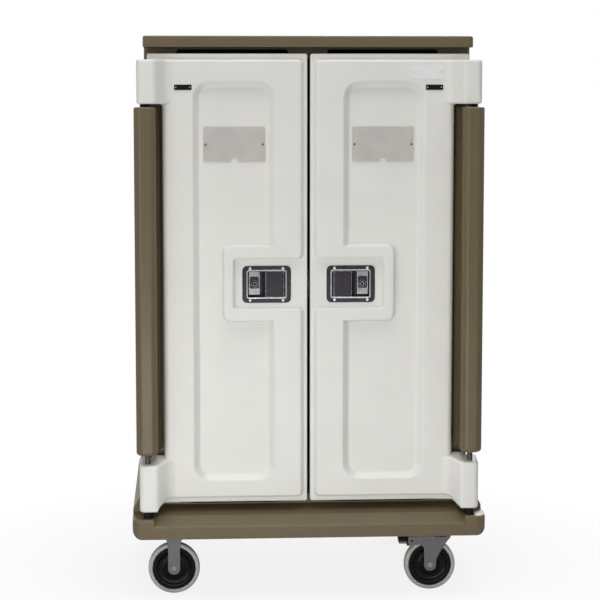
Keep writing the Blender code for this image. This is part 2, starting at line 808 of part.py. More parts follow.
def hinge_washer(side_name, side):
    """Thrust washer between the handle post and the upper ear."""
    low = post_top + GAP
    high = low + WASHER_HEIGHT
    washer = cylinder(
        "hinge_washer_" + side_name, WASHER_RADIUS, (side * hinge_out, hinge_y, low),
        (side * hinge_out, hinge_y, high), ROD_SEGMENTS, black_plastic,
    )
    cut(washer, cylinder(
        "washer_bore_" + side_name, bore_radius(ROD_RADIUS, ROD_SEGMENTS),
        (side * hinge_out, hinge_y, low - OVERRUN),
        (side * hinge_out, hinge_y, high + OVERRUN), ROD_SEGMENTS,
    ))
    smooth(washer)


def latch_strike():
    """Foot on the cabinet between the mouths, with a fin that stands between the doors."""
    foot = block(
        "latch_strike",
        (-STRIKE_FOOT_HALF, cabinet_front - GAP - STRIKE_FOOT_THICKNESS,
         latch_centre - STRIKE_FOOT_HEIGHT / 2),
        (STRIKE_FOOT_HALF, cabinet_front - GAP, latch_centre + STRIKE_FOOT_HEIGHT / 2), steel,
    )
    join(foot, block(
        "strike_fin",
        (-STRIKE_FIN_HALF, cabinet_front - STRIKE_FIN_REACH,
         latch_centre - STRIKE_FIN_HEIGHT / 2),
        (STRIKE_FIN_HALF, cabinet_front - GAP - STRIKE_FOOT_THICKNESS / 2,
         latch_centre + STRIKE_FIN_HEIGHT / 2),
    ))


def door_magnet(side_name, side):
    """Magnet on the cabinet's side that holds the door folded back by its hold plate."""
    middle_y = hinge_y + HOLD_PLATE_FROM_HINGE
    middle_z = door_top - HOLD_PLATE_DROP
    folded_face = hinge_out + HINGE_REACH
    reach = folded_face - GAP - HOLD_PLATE_THICKNESS - HOLD_OPEN_GAP
    magnet = block(
        "door_magnet_" + side_name,
        (side * (cabinet_out + GAP), middle_y - HOLD_PLATE_WIDTH / 2,
         middle_z - HOLD_PLATE_HEIGHT / 2),
        (side * reach, middle_y + HOLD_PLATE_WIDTH / 2, middle_z + HOLD_PLATE_HEIGHT / 2),
        black_plastic,
    )
    bevel(magnet, SURFACE_STEP * 5, 1)


def door_shell(side_name, side):
    """Outer moulding of a door: rim slab, raised panel with its recess, and two hinge ears."""
    notch_low = lower_ear_top + NOTCH_MARGIN
    rim = prism("door_shell_" + side_name, rounded(mirrored([
        (door_free, door_bottom, RIM_CORNER_RADIUS),
        (door_rim_out, door_bottom, RIM_CORNER_RADIUS),
        (door_rim_out, notch_low, 0),
        (door_hinge_side, notch_low, NOTCH_RADIUS),
        (door_hinge_side, upper_ear_bottom, NOTCH_RADIUS),
        (door_rim_out, upper_ear_bottom, 0),
        (door_rim_out, door_top, RIM_CORNER_RADIUS),
        (door_free, door_top, RIM_CORNER_RADIUS),
    ], side)), "front", door_rim, door_back, white)
    bevel(rim, RIM_EDGE_RADIUS, angle=60)
    panel = prism("door_panel_" + side_name, rounded(mirrored(rectangle(
        panel_free, door_hinge_side, panel_bottom, panel_top, PANEL_CORNER_RADIUS,
    ), side)), "front", door_face, door_rim + PANEL_EDGE_RADIUS * 2)
    bevel(panel, PANEL_EDGE_RADIUS, angle=60)
    recess_low = panel_bottom + RECESS_BOTTOM_MARGIN
    recess_high = panel_top - RECESS_TOP_MARGIN
    recess = prism("recess_" + side_name, rounded(mirrored(rectangle(
        recess_in, recess_out, recess_low, recess_high, RECESS_RADIUS,
    ), side)), "front", door_face - OVERRUN, door_face)
    taper_front(recess, RECESS_SLOPE, RECESS_DEPTH)
    ridge = ridge_block(side_name, side)
    pad = block(
        "pad_" + side_name,
        (0, door_face - OVERRUN, pad_centre - PAD_HEIGHT / 2),
        (side * pad_out, door_rim + SURFACE_STEP, pad_centre + PAD_HEIGHT / 2),
    )
    join(rim, panel)
    cut(rim, recess)
    join(rim, ridge)
    cut(rim, pad)
    join(rim, ear("upper_ear_" + side_name, side, upper_ear_bottom, upper_ear_top),
         ear("lower_ear_" + side_name, side, lower_ear_bottom, lower_ear_top))
    under = block(
        "ear_relief_" + side_name,
        (side * (hinge_out - EAR_ROOT - OVERRUN), door_face - OVERRUN,
         lower_ear_bottom - OVERRUN),
        (side * (hinge_out - EAR_INNER - EAR_END_RADIUS), door_back + OVERRUN,
         door_bottom + SURFACE_STEP),
    )
    cut(rim, under)
    for ear_name, low, high in (
        ("upper", upper_ear_bottom - OVERRUN, upper_ear_bottom + ROD_TOP_SEAT + GAP),
        ("lower", lower_ear_bottom - OVERRUN, lower_ear_top + OVERRUN),
    ):
        cut(rim, cylinder(
            "%s_ear_bore_%s" % (ear_name, side_name), bore_radius(ROD_RADIUS, ROD_SEGMENTS),
            (side * hinge_out, hinge_y, low), (side * hinge_out, hinge_y, high), ROD_SEGMENTS,
        ))
    skin = DOOR_SKIN
    hollow = block(
        "door_hollow_" + side_name,
        (side * (door_free + skin), door_face + RECESS_DEPTH + skin, door_bottom + skin),
        (side * (door_hinge_side - skin), door_back + OVERRUN, door_top - skin),
    )
    latch_hole = block(
        "latch_hole_" + side_name,
        (side * (pan_in() - GAP), door_rim - OVERRUN, pan_low() - GAP),
        (side * (pan_out() + GAP), door_face + RECESS_DEPTH + skin + OVERRUN,
         pan_high() + GAP),
    )
    bolt_hole = block(
        "bolt_hole_" + side_name,
        (0, bolt_front() - GAP, latch_centre - BOLT_HEIGHT / 2 - GAP),
        (side * (door_free + skin + OVERRUN), bolt_front() + BOLT_THICKNESS + GAP,
         latch_centre + BOLT_HEIGHT / 2 + GAP),
    )
    cut(rim, hollow, latch_hole, bolt_hole)
    return rim


def ridge_block(side_name, side):
    """Ridge round the latch pad, standing up from the recess floor to the panel's face."""
    floor = door_face + RECESS_DEPTH + PANEL_EDGE_RADIUS
    half = PAD_HEIGHT / 2 + RIDGE_HEIGHT_MARGIN
    ridge = prism("ridge_" + side_name, rounded(mirrored([
        (recess_in - RIDGE_OVERLAP - RIDGE_SLOPE, pad_centre - half, 0),
        (pad_out + RIDGE_WIDTH, pad_centre - half, RIDGE_RADIUS),
        (pad_out + RIDGE_WIDTH, pad_centre + half, RIDGE_RADIUS),
        (recess_in - RIDGE_OVERLAP - RIDGE_SLOPE, pad_centre + half, 0),
    ], side)), "front", door_face + RECESS_DEPTH - OVERRUN, floor)
    shape = bmesh.new()
    shape.from_mesh(ridge.data)
    near = max(shape.faces, key=lambda face: face.calc_center_median().z)
    rise = RECESS_DEPTH - OVERRUN - SURFACE_STEP
    bmesh.ops.inset_region(
        shape, faces=[near], thickness=RIDGE_SLOPE, depth=rise, use_even_offset=True,
    )
    shape.to_mesh(ridge.data)
    shape.free()
    return ridge


def ear(name, side, low, high):
    """Knuckle that turns on the hinge rod, filleted into the door's face."""
    root_front = HINGE_REACH + SURFACE_STEP
    corners = [
        (EAR_ROOT, root_front, 0), (EAR_INNER, root_front, EAR_FILLET),
        (EAR_INNER, -EAR_FRONT, EAR_FRONT_RADIUS), (-EAR_OUTER, -EAR_FRONT, EAR_FRONT_RADIUS),
        (-EAR_OUTER, EAR_BACK, EAR_BACK_RADIUS), (EAR_HEEL, EAR_BACK, 0),
        (EAR_HEEL, EAR_ROOT_BACK, 0), (EAR_ROOT, EAR_ROOT_BACK, 0),
    ]
    outline = [(side * (hinge_out - x), hinge_y + y) for x, y in rounded(corners)]
    return bevel(prism(name, outline, "plan", low, high), EAR_END_RADIUS, angle=65)


def door_inner_panel(side_name, side):
    """Sheet that closes the back of a door, with a hollow plug that enters the mouth."""
    sheet = block(
        "door_inner_panel_" + side_name,
        (side * (door_free + INNER_MARGIN), inner_front, door_bottom + INNER_MARGIN),
        (side * (door_hinge_side - INNER_MARGIN), inner_back, door_top - INNER_MARGIN),
        liner_grey,
    )
    low = (mouth_in + PLUG_MARGIN, inner_back - OVERRUN, mouth_bottom + PLUG_MARGIN)
    high = (mouth_out - PLUG_MARGIN, inner_back + PLUG_DEPTH, mouth_top - PLUG_MARGIN)
    join(sheet, block("plug_" + side_name, to_side(low, side), to_side(high, side)))
    wall = INNER_SHEET
    low = (low[0] + wall, inner_front - OVERRUN, low[2] + wall)
    high = (high[0] - wall, high[1] - wall, high[2] - wall)
    cut(sheet, block("plug_inside_" + side_name, to_side(low, side), to_side(high, side)))
    return sheet


def door_gasket(side_name, side):
    """Seal round the plug, closing on the cabinet's face round the mouth."""
    inset = SEAL_MOUTH_GAP
    low = (mouth_in - inset, seal_front, mouth_bottom - inset)
    high = (mouth_out + inset, seal_back, mouth_top + inset)
    outer_low = (low[0] - SEAL_WIDTH, low[1], low[2] - SEAL_WIDTH)
    outer_high = (high[0] + SEAL_WIDTH, high[1], high[2] + SEAL_WIDTH)
    gasket = block("door_gasket_" + side_name, to_side(outer_low, side),
                   to_side(outer_high, side), seal_rubber)
    low = (low[0], low[1] - OVERRUN, low[2])
    high = (high[0], high[1] + OVERRUN, high[2])
    cut(gasket, block("seal_inside_" + side_name, to_side(low, side), to_side(high, side)))
    return gasket


def hold_plate(side_name, side):
    middle = hinge_out - HOLD_PLATE_FROM_HINGE
    level = door_top - HOLD_PLATE_DROP
    return block(
        "hold_plate_" + side_name,
        (side * (middle - HOLD_PLATE_WIDTH / 2), door_face - GAP - HOLD_PLATE_THICKNESS,
         level - HOLD_PLATE_HEIGHT / 2),
        (side * (middle + HOLD_PLATE_WIDTH / 2), door_face - GAP,
         level + HOLD_PLATE_HEIGHT / 2),
        black_plastic,
    )


def card_holder(side_name, side):
    """Clear pocket on the recess floor, open at the top, with a thumb notch below."""
    floor = door_face + RECESS_DEPTH - GAP
    face = floor - CARD_THICKNESS
    high = door_top - CARD_DROP + CARD_HEIGHT / 2
    low = high - CARD_HEIGHT
    card_in = recess_in + RECESS_SLOPE + CARD_INNER_MARGIN
    card_out = recess_out - RECESS_SLOPE - CARD_OUTER_MARGIN
    middle = side * (card_in + card_out) / 2
    half = (card_out - card_in) / 2
    holder = block("card_holder_" + side_name, (middle - half, face, low),
                   (middle + half, floor, high), clear_plastic)
    slot = block(
        "card_slot_" + side_name,
        (middle - half + CARD_FRAME, face + CARD_WALL, low + CARD_FRAME),
        (middle + half - CARD_FRAME, floor - CARD_WALL, high + OVERRUN),
    )
    thumb = cylinder(
        "thumb_notch_" + side_name, CARD_THUMB_RADIUS,
        (middle, face - OVERRUN, low), (middle, floor + OVERRUN, low), PIN_SEGMENTS,
    )
    cut(holder, slot, thumb)
    return holder


def pan_in():
    return LATCH_FROM_MIDDLE - LATCH_WIDTH / 2 + PAN_BORDER


def pan_out():
    return LATCH_FROM_MIDDLE + LATCH_WIDTH / 2 - PAN_BORDER


def pan_low():
    return latch_centre - LATCH_HEIGHT / 2 + PAN_BORDER


def pan_high():
    return latch_centre + LATCH_HEIGHT / 2 - PAN_BORDER


def flange_back():
    """Plane of the latch flange's back, on the pad."""
    return door_rim + SURFACE_STEP - GAP


def pan_back():
    return flange_back() + PAN_DEPTH


def bolt_front():
    return pan_back() + BOLT_GUIDE_WALL + GAP


def latch_dish(side_name, side):
    """Flange, pan, lock platform and bolt guide of a paddle latch."""
    front = flange_back() - LATCH_FLANGE
    half = LATCH_WIDTH / 2
    dish = prism("latch_dish_" + side_name, rounded(mirrored(rectangle(
        LATCH_FROM_MIDDLE - half, LATCH_FROM_MIDDLE + half,
        latch_centre - LATCH_HEIGHT / 2, latch_centre + LATCH_HEIGHT / 2, LATCH_CORNER_RADIUS,
    ), side)), "front", front, flange_back(), black_chrome)
    pan = block(
        "pan_" + side_name,
        (side * pan_in(), front + LATCH_FLANGE / 2, pan_low()),
        (side * pan_out(), pan_back(), pan_high()),
    )
    wall = PAN_WALL
    inside = block(
        "pan_inside_" + side_name,
        (side * (pan_in() + wall), front - OVERRUN, pan_low() + wall),
        (side * (pan_out() - wall), pan_back() - wall, pan_high() - wall),
    )
    platform = block(
        "lock_platform_" + side_name,
        (side * (pan_out() - PLATFORM_WIDTH), front + PLATFORM_DEPTH, pan_low() + wall / 2),
        (side * (pan_out() - wall / 2), pan_back() - wall / 2, pan_high() - wall / 2),
    )
    play = BOLT_GUIDE_WALL + GAP
    guide_end = (door_free - BOLT_PROUD + BOLT_LENGTH + BOLT_TRAVEL + BOLT_GUIDE_END_PLAY
                 + BOLT_GUIDE_END_WALL)
    guide = block(
        "bolt_guide_" + side_name,
        (side * BOLT_GUIDE_START, pan_back() - wall / 2,
         latch_centre - BOLT_HEIGHT / 2 - play),
        (side * guide_end, bolt_front() + BOLT_THICKNESS + play,
         latch_centre + BOLT_HEIGHT / 2 + play),
    )
    channel = block(
        "bolt_channel_" + side_name,
        (side * (BOLT_GUIDE_START - OVERRUN), bolt_front() - GAP,
         latch_centre - BOLT_HEIGHT / 2 - GAP),
        (side * (guide_end - BOLT_GUIDE_END_WALL), bolt_front() + BOLT_THICKNESS + GAP,
         latch_centre + BOLT_HEIGHT / 2 + GAP),
    )
    lock_hole = cylinder(
        "lock_hole_" + side_name, bore_radius(LOCK_RADIUS, ROD_SEGMENTS),
        (side * lock_out(), front, latch_centre),
        (side * lock_out(), pan_back() + OVERRUN, latch_centre), ROD_SEGMENTS,
    )
    join(dish, pan)
    cut(dish, inside)
    join(dish, platform, guide)
    cut(dish, channel, lock_hole)
    return dish


def lock_out():
    return pan_out() - LOCK_FROM_PAN_EDGE


def paddle_axis():
    """Out and back place of the paddle's pin."""
    out = pan_in() + PAN_WALL + BARREL_GAP + BARREL_RADIUS
    back = flange_back() - LATCH_FLANGE + PADDLE_SETBACK + BARREL_RADIUS
    return out, back


def latch_paddle(side_name, side):
    """Flat paddle that pivots on its pin at the edge nearest the other door."""
    out, back = paddle_axis()
    low = pan_low() + PAN_WALL + PADDLE_END_GAP
    high = pan_high() - PAN_WALL - PADDLE_END_GAP
    front = flange_back() - LATCH_FLANGE + PADDLE_SETBACK
    free = pan_out() - PLATFORM_WIDTH - PADDLE_FINGER_GAP
    paddle = block("latch_paddle_" + side_name, (side * out, front, low),
                   (side * free, front + PADDLE_THICKNESS, high), black_chrome)
    barrel = cylinder("barrel_" + side_name, BARREL_RADIUS, (side * out, back, low),
                      (side * out, back, high), PIN_SEGMENTS)
    bore = cylinder("barrel_bore_" + side_name, bore_radius(PIN_RADIUS, PIN_SEGMENTS),
                    (side * out, back, low - OVERRUN), (side * out, back, high + OVERRUN),
                    PIN_SEGMENTS)
    join(paddle, barrel)
    cut(paddle, bore)
    return paddle


def paddle_pin(side_name, side):
    out, back = paddle_axis()
    pin = cylinder("paddle_pin_" + side_name, PIN_RADIUS,
                   (side * out, back, pan_low() + PAN_WALL + GAP),
                   (side * out, back, pan_high() - PAN_WALL - GAP), PIN_SEGMENTS, steel)
    smooth(pin)
    return pin


def latch_bolt(side_name, side):
    """Sliding bolt with a slanted nose towards the strike."""
    tip = door_free - BOLT_PROUD
    front = bolt_front()
    back = front + BOLT_THICKNESS
    return prism("latch_bolt_" + side_name, mirrored([
        (tip, back), (tip, front + BOLT_THICKNESS / 2), (tip + BOLT_NOSE, front),
        (tip + BOLT_LENGTH, front), (tip + BOLT_LENGTH, back),
    ], side), "plan", latch_centre - BOLT_HEIGHT / 2, latch_centre + BOLT_HEIGHT / 2, steel)


def lock_cylinder(side_name, side):
    """Key cylinder in the platform, with its keyway."""
    front = flange_back() - LATCH_FLANGE + PLATFORM_DEPTH - LOCK_PROUD
    lock = cylinder("lock_cylinder_" + side_name, LOCK_RADIUS,
                    (side * lock_out(), front, latch_centre),
                    (side * lock_out(), front + LOCK_LENGTH, latch_centre), ROD_SEGMENTS, steel)
    cut(lock, block(
        "keyway_" + side_name,
        (side * (lock_out() - KEYWAY_WIDTH / 2), front - OVERRUN,
         latch_centre - KEYWAY_HEIGHT / 2),
        (side * (lock_out() + KEYWAY_WIDTH / 2), front + KEYWAY_DEPTH,
         latch_centre + KEYWAY_HEIGHT / 2),
    ))
    smooth(lock)
    return lock


def door(side_name, side):
    """One door and its latch, carried by an empty on the hinge axis."""
    hinge = pivot("door_hinge_" + side_name, (side * hinge_out, hinge_y, door_bottom))
    dish = latch_dish(side_name, side)
    carry(hinge, door_shell(side_name, side), door_inner_panel(side_name, side),
          door_gasket(side_name, side), hold_plate(side_name, side),
          card_holder(side_name, side), dish, paddle_pin(side_name, side))
    out, back = paddle_axis()
    swing = pivot("paddle_pivot_" + side_name, (side * out, back, latch_centre))
    carry(swing, latch_paddle(side_name, side))
    carry(hinge, swing, latch_bolt(side_name, side), lock_cylinder(side_name, side))


def wheel(name, centre):
    """Hub and tyre of one wheel; returns them."""
    facet = math.cos(math.pi / WHEEL_STEPS)
    outer = wheel_radius / facet
    seat = outer - TYRE_DEPTH
    half = WHEEL_WIDTH / 2
    shoulder = TYRE_SHOULDER
    tyre = turned("tyre_" + name, [
        (seat, half - shoulder / 4), (outer - shoulder, half), (outer - shoulder / 4, half - shoulder),
        (outer, half - shoulder * 2), (outer, shoulder * 2 - half),
        (outer - shoulder / 4, shoulder - half), (outer - shoulder, -half),
        (seat, shoulder / 4 - half),
    ], WHEEL_STEPS, centre, tyre_rubber)
    rim = seat - GAP
    bore = bore_radius(AXLE_RADIUS, WHEEL_STEPS)
    boss, web, face = HUB_BOSS_WIDTH / 2, HUB_WEB_WIDTH / 2, HUB_WIDTH / 2
    upper = [
        (bore, boss), (HUB_BOSS_RADIUS, boss), (HUB_BOSS_RADIUS + HUB_RIM / 2, web),
        (rim - HUB_RIM * 2, web), (rim - HUB_RIM, face), (rim, face),
    ]
    hub = turned("hub_" + name, upper + [(radius, -height) for radius, height in upper[::-1]],
                 WHEEL_STEPS, centre, black_plastic)
    smooth(tyre)
    smooth(hub)
    return hub, tyre


def axle(name, centre):
    """Axle bolt through both fork legs, with a low head at each end."""
    reach = WHEEL_WIDTH / 2 + FORK_SIDE_GAP + FORK_SHEET + GAP
    made = turned("axle_" + name, [
        (AXLE_RADIUS, reach), (AXLE_HEAD_RADIUS, reach), (AXLE_HEAD_RADIUS, reach + AXLE_HEAD),
        (0, reach + AXLE_HEAD), (0, -reach - AXLE_HEAD), (AXLE_HEAD_RADIUS, -reach - AXLE_HEAD),
        (AXLE_HEAD_RADIUS, -reach), (AXLE_RADIUS, -reach),
    ][::-1], AXLE_SEGMENTS, centre, zinc)
    smooth(made)
    return made


def fork_body(name, outline, centre, channel_top):
    """Fork cut from one outline, with a channel for the wheel that leaves two legs."""
    inner = WHEEL_WIDTH / 2 + FORK_SIDE_GAP
    outer = inner + FORK_SHEET
    fork = prism("fork_" + name, outline, "front", centre[1] - outer, centre[1] + outer, zinc)
    cut(fork, block(
        "wheel_channel_" + name,
        (centre[0] - wheel_radius * 2, centre[1] - inner, 0),
        (centre[0] + wheel_radius * 2, centre[1] + inner, channel_top),
    ))
    return fork


def axle_hole(name, centre):
    reach = WHEEL_WIDTH / 2 + FORK_SIDE_GAP + FORK_SHEET + OVERRUN
    return turned("axle_hole_" + name, [
        (bore_radius(AXLE_RADIUS, AXLE_SEGMENTS), reach), (bore_radius(AXLE_RADIUS, AXLE_SEGMENTS), -reach),
        (0, -reach), (0, reach),
    ], AXLE_SEGMENTS, centre)


def rigid_caster(end_name, end):
    """Caster that always runs along X: plate, crown and two legs in one fork."""
    name = "rigid_" + end_name
    centre = (-rigid_out, end * (base_back - WHEEL_SETBACK), wheel_radius)
    x, y, z = centre
    plate_top = deck_bottom - GAP
    plate_low = plate_top - RIGID_PLATE_THICKNESS
    rigid_crown_low = plate_low - RIGID_CROWN
    radius = FORK_LEG_RADIUS
    fork = fork_body(name, rounded([
        (x - radius, z - radius, radius), (x + radius, z - radius, radius),
        (x + radius, rigid_crown_low - RIGID_FLARE, radius),
        (x + RIGID_CROWN_HALF, rigid_crown_low, 0),
        (x + RIGID_CROWN_HALF, plate_low + RIGID_PLATE_THICKNESS / 2, 0),
        (x - RIGID_CROWN_HALF, plate_low + RIGID_PLATE_THICKNESS / 2, 0),
        (x - RIGID_CROWN_HALF, rigid_crown_low, 0), (x - radius, rigid_crown_low - RIGID_FLARE, radius),
    ], FINE_STEPS), centre, rigid_crown_low)
    join(fork, block(
        "rigid_plate_" + end_name,
        (x - RIGID_PLATE_LENGTH / 2, y - RIGID_PLATE_WIDTH / 2, plate_low),
        (x + RIGID_PLATE_LENGTH / 2, y + RIGID_PLATE_WIDTH / 2, plate_top),
    ))
    cut(fork, axle_hole(name, centre))
    axle(name, centre)
    spin = pivot("wheel_axis_" + name, centre)
    carry(spin, *wheel(name, centre))


def swivel_caster(end_name, end):
    """Caster that turns on a kingpin under its plate, with a foot brake over the wheel."""
    name = "swivel_" + end_name
    centre = (swivel_out, end * (base_back - WHEEL_SETBACK), wheel_radius)
    x, y, z = centre
    kingpin_x = x + SWIVEL_OFFSET
    plate_top = deck_bottom - GAP
    plate_low = plate_top - SWIVEL_PLATE_THICKNESS
    race_low = plate_low - RACE_HEIGHT
    half_length, half_width = SWIVEL_PLATE_LENGTH / 2, SWIVEL_PLATE_WIDTH / 2
    plate = block("swivel_plate_" + end_name, (kingpin_x - half_length, y - half_width, plate_low),
                  (kingpin_x + half_length, y + half_width, plate_top), zinc)
    race = cylinder("race_" + name, RACE_RADIUS, (kingpin_x, y, race_low),
                    (kingpin_x, y, plate_low + SWIVEL_PLATE_THICKNESS / 2), ROD_SEGMENTS)
    pin_low = crown_low - GAP - KINGPIN_HEAD
    shank = cylinder("kingpin_" + name, KINGPIN_RADIUS, (kingpin_x, y, pin_low),
                     (kingpin_x, y, race_low + KINGPIN_RADIUS), ROD_SEGMENTS)
    head = cylinder("kingpin_head_" + name, KINGPIN_HEAD_RADIUS, (kingpin_x, y, pin_low),
                    (kingpin_x, y, crown_low - GAP), ROD_SEGMENTS)
    join(plate, race, shank, head)

    side_reach = WHEEL_WIDTH / 2 + FORK_SIDE_GAP + FORK_SHEET
    radius = FORK_LEG_RADIUS
    arm_low = crown_low - BRAKE_ARM_DEPTH
    arm_top = crown_top - SURFACE_STEP
    arm_end = x - BRAKE_ARM_LENGTH
    fork = fork_body(name, rounded([
        (x - radius, z - radius, radius), (x + radius, z - radius, radius),
        (x + radius, z + radius, FORK_THROAT), (x + CROWN_FRONT - radius, arm_low, radius),
        (x + CROWN_FRONT, crown_low, 0), (x + CROWN_FRONT, arm_top, 0), (arm_end, arm_top, 0),
        (arm_end, arm_low, AXLE_RADIUS), (x - radius, arm_low, radius),
    ], FINE_STEPS), centre, crown_low)
    turntable = cylinder("turntable_" + name, RACE_RADIUS,
                         (kingpin_x, y, crown_low + SURFACE_STEP), (kingpin_x, y, crown_top),
                         ROD_SEGMENTS)
    join(fork, turntable)
    king_bore = cylinder("king_bore_" + name, bore_radius(KINGPIN_RADIUS, ROD_SEGMENTS),
                         (kingpin_x, y, crown_low - OVERRUN), (kingpin_x, y, crown_top + OVERRUN),
                         ROD_SEGMENTS)
    pedal_x, pedal_z = x - PEDAL_PIVOT_BACK, pedal_level
    pedal_bore = cylinder("pedal_bore_" + name, bore_radius(PEDAL_PIVOT_RADIUS, PIN_SEGMENTS),
                          (pedal_x, y - side_reach - OVERRUN, pedal_z),
                          (pedal_x, y + side_reach + OVERRUN, pedal_z), PIN_SEGMENTS)
    cut(fork, axle_hole(name, centre), king_bore, pedal_bore)

    swivel = pivot("swivel_axis_" + end_name, (kingpin_x, y, crown_top))
    carry(swivel, fork, axle(name, centre))
    spin = pivot("wheel_axis_" + name, centre)
    carry(spin, *wheel(name, centre))
    foot = pivot("pedal_axis_" + end_name, (pedal_x, y, pedal_z))
    carry(foot, brake_pedal(end_name, x, y, pedal_x, pedal_z, side_reach))
    carry(swivel, spin, foot)


def brake_pedal(end_name, x, y, pedal_x, pedal_z, side_reach):
    """Foot pedal between the fork's arms, with its pivot pin and a shoe above the tyre."""
    half = PEDAL_WIDTH / 2
    thick = PEDAL_THICKNESS / 2
    pedal = block("brake_pedal_" + end_name, (x - PEDAL_LENGTH, y - half, pedal_z - thick),
                  (x - PEDAL_INNER, y + half, pedal_z + thick), black_plastic)
    pin = cylinder("pedal_pin_" + end_name, PEDAL_PIVOT_RADIUS, (pedal_x, y - side_reach, pedal_z),
                   (pedal_x, y + side_reach, pedal_z), PIN_SEGMENTS)
    shoe_x = pedal_x - PEDAL_PIVOT_RADIUS - SHOE_LENGTH
    shoe = block("shoe_" + end_name, (shoe_x, y - SHOE_WIDTH / 2, pedal_z - SHOE_DEPTH),
                 (shoe_x + SHOE_LENGTH, y + SHOE_WIDTH / 2, pedal_z))
    join(pedal, pin, shoe)
    return pedal


base_deck()
cabinet_shell()
insulation_core()
top_panel()
latch_strike()
for side_name, side in SIDES.items():
    liner(side_name, side)
    for wall_name in ("inner", "outer"):
        tray_rack(side_name, side, wall_name)
    handle_post(side_name, side)
    hinge_rod(side_name, side)
    hinge_washer(side_name, side)
    door_magnet(side_name, side)
    door(side_name, side)
for end_name, end in ENDS.items():
    rigid_caster(end_name, end)
    swivel_caster(end_name, end)
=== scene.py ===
"""Looks of the insulated two-door meal delivery cart.

Metres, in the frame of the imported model: +Z up, doors towards -Y, floor at Z = 0. A distance
called "out" is measured sideways from the middle plane. Pieces that come in a left and a right
version are shaped at the right, at +X, and turned over for the left.
"""

import math

import bmesh
import bpy
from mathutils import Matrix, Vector


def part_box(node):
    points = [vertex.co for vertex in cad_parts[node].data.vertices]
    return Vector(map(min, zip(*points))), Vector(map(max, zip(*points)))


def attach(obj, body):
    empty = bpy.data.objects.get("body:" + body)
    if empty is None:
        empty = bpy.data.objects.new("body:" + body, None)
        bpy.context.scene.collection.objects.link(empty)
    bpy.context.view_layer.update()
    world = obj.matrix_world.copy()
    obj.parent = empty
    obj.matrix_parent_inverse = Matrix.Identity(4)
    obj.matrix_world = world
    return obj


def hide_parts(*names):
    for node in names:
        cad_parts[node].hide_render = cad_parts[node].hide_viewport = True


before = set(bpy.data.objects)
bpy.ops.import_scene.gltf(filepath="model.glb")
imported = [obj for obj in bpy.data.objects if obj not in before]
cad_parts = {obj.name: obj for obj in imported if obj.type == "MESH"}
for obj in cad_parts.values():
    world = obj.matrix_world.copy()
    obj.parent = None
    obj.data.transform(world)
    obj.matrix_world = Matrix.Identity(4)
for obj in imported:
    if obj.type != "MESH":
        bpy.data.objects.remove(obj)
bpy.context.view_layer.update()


# Base deck. One hollow roto-moulding in taupe polyethylene: a bumper runs round it, its front
# slopes up to the doors, each front corner has a low block that the hinge rod stands in, and
# a skirt rises along each side to shield the foot of the cabinet.
deck_low, deck_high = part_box("base_deck")
DECK_TOP = 0.2605
BUMPER_TOP = 0.221
SLOPE_TOP = 0.246
CORNER_BLOCK_IN = 0.456
CORNER_BLOCK_TOP = 0.2425
SKIRT_IN = 0.4773
DOOR_FACE = deck_low.y + 0.062
CABINET_FRONT = DOOR_FACE + 0.0623
SKIRT_START = DOOR_FACE + 0.044
CABINET_BACK = deck_high.y - 0.05
SLOPE_FRONT = deck_low.y + 0.042
PAST_DECK_SIDE = 0.53
DECK_ROUND = 0.006
RAIL_ROUND = 0.008
BUMPER_FOOT_ROUND = 0.028
DECK_CORNER_ROUND = 0.03
BACK_DROP = 0.022
SKIRT_ROUND = 0.0015
OVERLAP = 0.002
CUTTER_REACH = 0.01

SIDES = {"left": -1, "right": 1}
VIEW_AXES = {"plan": (0, 1, 2), "front": (0, 2, 1), "side": (1, 2, 0)}


def step_face(shape, face, profile):
    """Carry a face onwards in (inset, rise) steps, its outline drawn in at each."""
    for inset, rise in profile:
        bmesh.ops.inset_region(
            shape, faces=[face], thickness=inset, depth=rise, use_even_offset=True,
        )


def end_face(shape, along, toward):
    """The flat end that faces most along an axis."""
    shape.normal_update()
    return max(shape.faces, key=lambda face: face.normal[along] * toward + face.calc_area() * 0.001)


def quarter_round(radius):
    """(inset, rise) steps of a rounded edge between a wall and the end that it meets."""
    steps = 5
    turns = [math.pi / 2 * i / steps for i in range(steps + 1)]
    return [
        (radius * (math.cos(a) - math.cos(b)), radius * (math.sin(b) - math.sin(a)))
        for a, b in zip(turns, turns[1:])
    ]


def extruded(corners, view, low, high, steps=8, low_round=0.0, high_round=0.0):
    """Closed shape from an outline of (across, up, radius) corners, between two planes."""
    across, up, along = VIEW_AXES[view]
    shape = bmesh.new()
    verts = []
    for corner in corners:
        place = [0.0, 0.0, 0.0]
        place[across], place[up], place[along] = corner[0], corner[1], low + low_round
        verts.append(shape.verts.new(place))
    face = shape.faces.new(verts)
    grown = bmesh.ops.extrude_face_region(shape, geom=[face])
    far = [item for item in grown["geom"] if isinstance(item, bmesh.types.BMVert)]
    depth = high - high_round - low - low_round
    shift = [0.0, 0.0, 0.0]
    shift[along] = depth
    bmesh.ops.translate(shape, vec=shift, verts=far)
    bmesh.ops.recalc_face_normals(shape, faces=shape.faces)
    count = len(corners)
    for i, corner in enumerate(corners):
        if corner[2] == 0:
            continue
        here = Vector(corner[:2])
        before = (Vector(corners[i - 1][:2]) - here).normalized()
        after = (Vector(corners[(i + 1) % count][:2]) - here).normalized()
        reach = corner[2] / math.tan(before.angle(after) / 2)
        edge = next(e for e in verts[i].link_edges
                    if abs(e.other_vert(verts[i]).co[along] - verts[i].co[along]) > 0.5 * depth)
        bmesh.ops.bevel(
            shape, geom=[edge], offset=reach, offset_type="OFFSET", segments=steps, profile=0.5,
            affect="EDGES", material=-1, clamp_overlap=False,
        )
    if low_round:
        step_face(shape, end_face(shape, along, -1), quarter_round(low_round))
    if high_round:
        step_face(shape, end_face(shape, along, 1), quarter_round(high_round))
    return shape


